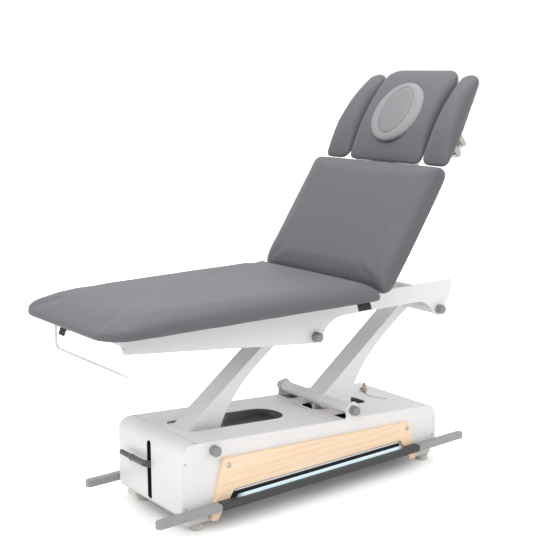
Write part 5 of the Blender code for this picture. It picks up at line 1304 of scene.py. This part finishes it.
def back_frame():
    """Ladder frame behind the backrest: two rails, rungs, the hinge tube and the drive crank."""
    low, high = -0.0172, -0.0033
    parts = [block((0.004, y - 0.0125, low), (0.5085, y + 0.0125, high), 0.003, ON_BACK)
             for y in (0.0725, -0.0725)]
    parts += [block((x, -half, low + 0.0004), (x + 0.030, half, high - 0.0004), 0.003, ON_BACK)
              for x, half in ((0.0, 0.1872), (0.200, 0.0602))]
    hinge = [(0.0, 0.1924, 0.0), (0.0050, 0.1924, 0.0006), (0.0050, 0.1877, 0.0), (0.0090, 0.1876, 0.001),
             (0.0090, 0.0, 0.0)]
    lean = 55.8
    turn = math.radians(-90.0 - lean / 2)
    eye = (0.060 * math.cos(turn), 0.060 * math.sin(turn))
    arm = plate([stadium(0.0, 0.0, *eye, 0.009, 0.016), oval(*eye, 0.0096, 0.0096, 40)], 0.010, 0.001,
                side_view(BACK_HINGE, math.radians(lean)))
    parts += [turned(mirrored(hinge), BACK_HINGE, steps=4), arm]
    piece("back_ladder", joined(*parts), "white_coat", "backrest", "back_frame")
    knuckle = [(0.0, -0.011, 0.0), (0.0050, -0.011, 0.001), (0.0050, 0.011, 0.001), (0.0, 0.011, 0.0)]
    for side, sign in SIDES:
        centre = HEAD_HINGE + BOARD_NORMAL * 0.0145 + Vector((0.0, sign * 0.165, 0.0))
        piece("head_hinge_knuckle_" + side, turned(knuckle, centre), "cap_grey", "backrest", even=False)


def head_frame():
    """Head board with the face hole, hinge tube, and the bridge bar that carries the armrest links."""
    top = HEAD_BOTTOM - 0.0004
    board = rounded(mirrored([(-0.001, -0.056, 0.0), (0.012, -0.056, 0.003), (0.012, -0.165, 0.012),
                              (0.367, -0.165, 0.022)]))
    hole = oval(HOLE_CENTRE, 0.0, HOLE_ALONG, HOLE_ACROSS)
    spigot = [(0.0, 0.0838, 0.0), (0.0040, 0.0838, 0.0006), (0.0040, 0.0598, 0.0), (0.0065, 0.0597, 0.001),
              (0.0065, 0.0, 0.0)]
    u, v = LINK_ROOT[0] + LINK_SPACING / 2, LINK_ROOT[1]
    end = LINK_Y - 0.0034
    parts = [plate([board, hole], 0.0118, 0.0012, raised(ON_HEAD, top - 0.006)),
             turned(mirrored(spigot), HEAD_HINGE, steps=4),
             block((u - 0.0335, -end, v - 0.010), (u + 0.0335, end, v + 0.010), 0.003, ON_HEAD)]
    parts += [block((u - 0.012, y - 0.012, v + 0.009), (u + 0.012, y + 0.012, top - 0.011), 0.002, ON_HEAD)
              for y in (0.130, -0.130)]
    piece("head_carrier", joined(*parts), "white_coat", "head", "head_frame")


def armrest_bracket(side, sign):
    """Lug under an armrest pad and the two parallel links that carry it."""
    reach = heading(LINK_TURN) * LINK_LENGTH
    flip = ON_HEAD @ Matrix.Rotation(math.pi / 2, 4, "X")
    u, v = LINK_ROOT[0] + reach.x, LINK_ROOT[1] + reach.z
    lug = box_outline(u - 0.010, v - 0.010, u + LINK_SPACING + 0.010, HEAD_BOTTOM + 0.003, 0.006)
    mesh = plate([lug], 0.006, 0.001, raised(flip, -sign * (LINK_Y + 0.0063)))
    piece("armrest_lug_" + side, mesh, "white_coat", "armrest_" + side)
    for k, name in enumerate(("lower", "upper")):
        u, v = LINK_ROOT[0] + k * LINK_SPACING, LINK_ROOT[1]
        bar = plate([stadium(u, v, u + reach.x, v + reach.z, 0.010)], 0.006, 0.0012,
                    raised(flip, -sign * LINK_Y))
        body = "armrest_link_%s_%s" % (name, side)
        piece("drop_link_%s_%s" % (name, side), bar, "link_beige", body, body)


def face_plug():
    """Oval plug: a plain body below, a rim that rises as (1 - (1 - t)^3)^(1/2) to a long oval lid with a
    fine groove round it, and a low crown on the lid."""
    top = PLUG_LEVEL
    hole = np.array((HOLE_ALONG, HOLE_ACROSS))
    outer, body, lid = hole + PLUG_RIM, hole - 0.001, np.array(PLUG_LID)
    point = np.zeros(2)
    rings = [(point, top - 0.030), (body - 0.003, top - 0.030), (body, top - 0.027), (body, top - 0.0075),
             (outer - 0.0012, top - 0.0070), (outer, top - 0.0050)]
    for turn in np.linspace(0.0, np.pi / 2, 18):
        share = 1.0 - math.cos(turn)
        rise = PLUG_RISE * math.sqrt(1.0 - (1.0 - share) ** 3)
        rings.append((outer * (1.0 - share) + (lid + 0.0006) * share, top + 0.0010 + rise))
    high = rings[-1][1]
    rings += [(lid + 0.0002, high - 0.0016), (lid - 0.0030, high - 0.0018), (point, high - 0.0018)]
    cover = [(point, high - 0.0014), (lid - 0.0008, high - 0.0014), (lid - 0.0010, high + 0.0002),
             (lid - 0.0022, high + 0.0009), (lid * 0.8, high + 0.0018), (lid * 0.5, high + 0.0026),
             (point, high + 0.0030)]
    # The lid's darker material is painted shade on the same plastic as the rim
    for name, stack, finish, nodes in (("face_plug_cover", rings, "plug_mauve", ("face_plug",)),
                                       ("face_plug_lid", cover, "lid_mauve_painted_shade", ())):
        rows = [np.column_stack((oval(HOLE_CENTRE, 0.0, *size, 144), np.full(144, level)))
                for size, level in stack]
        mesh = grid_mesh(np.array(rows))
        mesh.transform(ON_HEAD)
        piece(name, mesh, finish, "plug", *nodes, even=False)


# Stage

def camera():
    """Camera at the photograph's place and angle."""
    forward = Vector((math.cos(CAMERA_YAW) * math.cos(CAMERA_PITCH),
                      math.sin(CAMERA_YAW) * math.cos(CAMERA_PITCH),
                      -math.sin(CAMERA_PITCH)))
    right = Vector((math.sin(CAMERA_YAW), -math.cos(CAMERA_YAW), 0.0))
    data = bpy.data.cameras.new("camera")
    data.sensor_width = SENSOR_MM
    data.lens = SENSOR_MM * FOCAL_PX / FRAME_PX
    data.clip_end = 60.0
    obj = linked("camera", data)
    obj.matrix_world = axes(at_base(*CAMERA_FROM_FOOT_END), right, right.cross(forward))
    bpy.context.scene.camera = obj


def seen_directly(tree):
    """One for rays from the camera, mirrors and glass, nothing for light that falls on the object."""
    path = add(tree, "LightPath", {})
    seen = path["Is Camera Ray"]
    for ray in ("Is Glossy Ray", "Is Transmission Ray"):
        seen = calculate(tree, "MAXIMUM", seen, path[ray])
    return seen


def pale_floor():
    """Wide pale floor that the camera sees brighten to plain white away from the base, so that only the soft
    shadow near it shows; the glow is smoothstep of the distance from a rectangle under it,
    max(|p| - half, 0)."""
    mesh = grid_mesh(np.array([[(x, y, -0.0005) for x in (-30.0, 30.0)] for y in (-30.0, 30.0)]),
                     loop_columns=False)
    tree, shader, vector = start_material("floor_white")
    origin = (0.0, 0.0, 0.0)
    for operation, value in (("SUBTRACT", (FOOT_END + BASE_MIDDLE, 0.0, 0.0)), ("ABSOLUTE", origin),
                             ("SUBTRACT", (*FOOTPRINT, 1.0)), ("MAXIMUM", origin)):
        vector = add(tree, "VectorMath", {0: vector, 1: value}, operation=operation)["Vector"]
    reach = add(tree, "VectorMath", {0: vector}, operation="LENGTH")["Value"]
    fade = span(tree, reach, 0.0, 1.0, *FLOOR_FADE, interpolation_type="SMOOTHSTEP")
    feed(tree, shader, {"Base Color": (0.88, 0.88, 0.88, 1.0), "Roughness": 0.9, "Specular IOR Level": 0.0,
                        "Emission Color": WHITE,
                        "Emission Strength": calculate(tree, "MULTIPLY", seen_directly(tree), fade)})
    mesh.materials.append(MATERIALS["floor_white"])
    linked("floor", mesh)


def studio():
    """White surroundings for the camera and for reflections, a gentle dome for the rest, and soft lamps."""
    scene = bpy.context.scene
    scene.view_settings.view_transform = "Standard"
    scene.world = bpy.data.worlds.new("studio")
    scene.world.use_nodes = True
    tree = scene.world.node_tree
    feed(tree, tree.nodes["Background"],
         {"Color": WHITE, "Strength": span(tree, seen_directly(tree), DOME_LIGHT, 1.0, 0.0, 1.0)})
    for name, place, aim, size, watts in LAMPS:
        data = bpy.data.lights.new(name, "AREA")
        data.size = size
        data.energy = watts
        lamp = linked(name, data)
        lamp.location = place
        lamp.rotation_euler = (Vector(aim) - Vector(place)).to_track_quat("-Z", "Y").to_euler()


make_materials()
camera()
studio()
pale_floor()
key_and_lanyard()
base_sides()
top_cover()
end_covers()
wood_panels()
feet()
control_bars()
castor_lever()
mains_inlet()
castor_wheels()
lift_arms()
pivot_shafts()
frame_plates()
frame_members()
label_tabs()
back_frame()
head_frame()
face_plug()
keep("white_coat", "cross_member_foot", "cross_member_head", "cross_member_lift")
keep("inner_grey", "control_box")
keep("black_plastic", "lift_actuator_body", "back_actuator_body")
keep("satin_steel", "lift_actuator_rod", "back_actuator_rod", "castor_frame_foot", "castor_frame_head",
     "castor_tie_rod")
leg_pad()
back_pad()
head_pads()
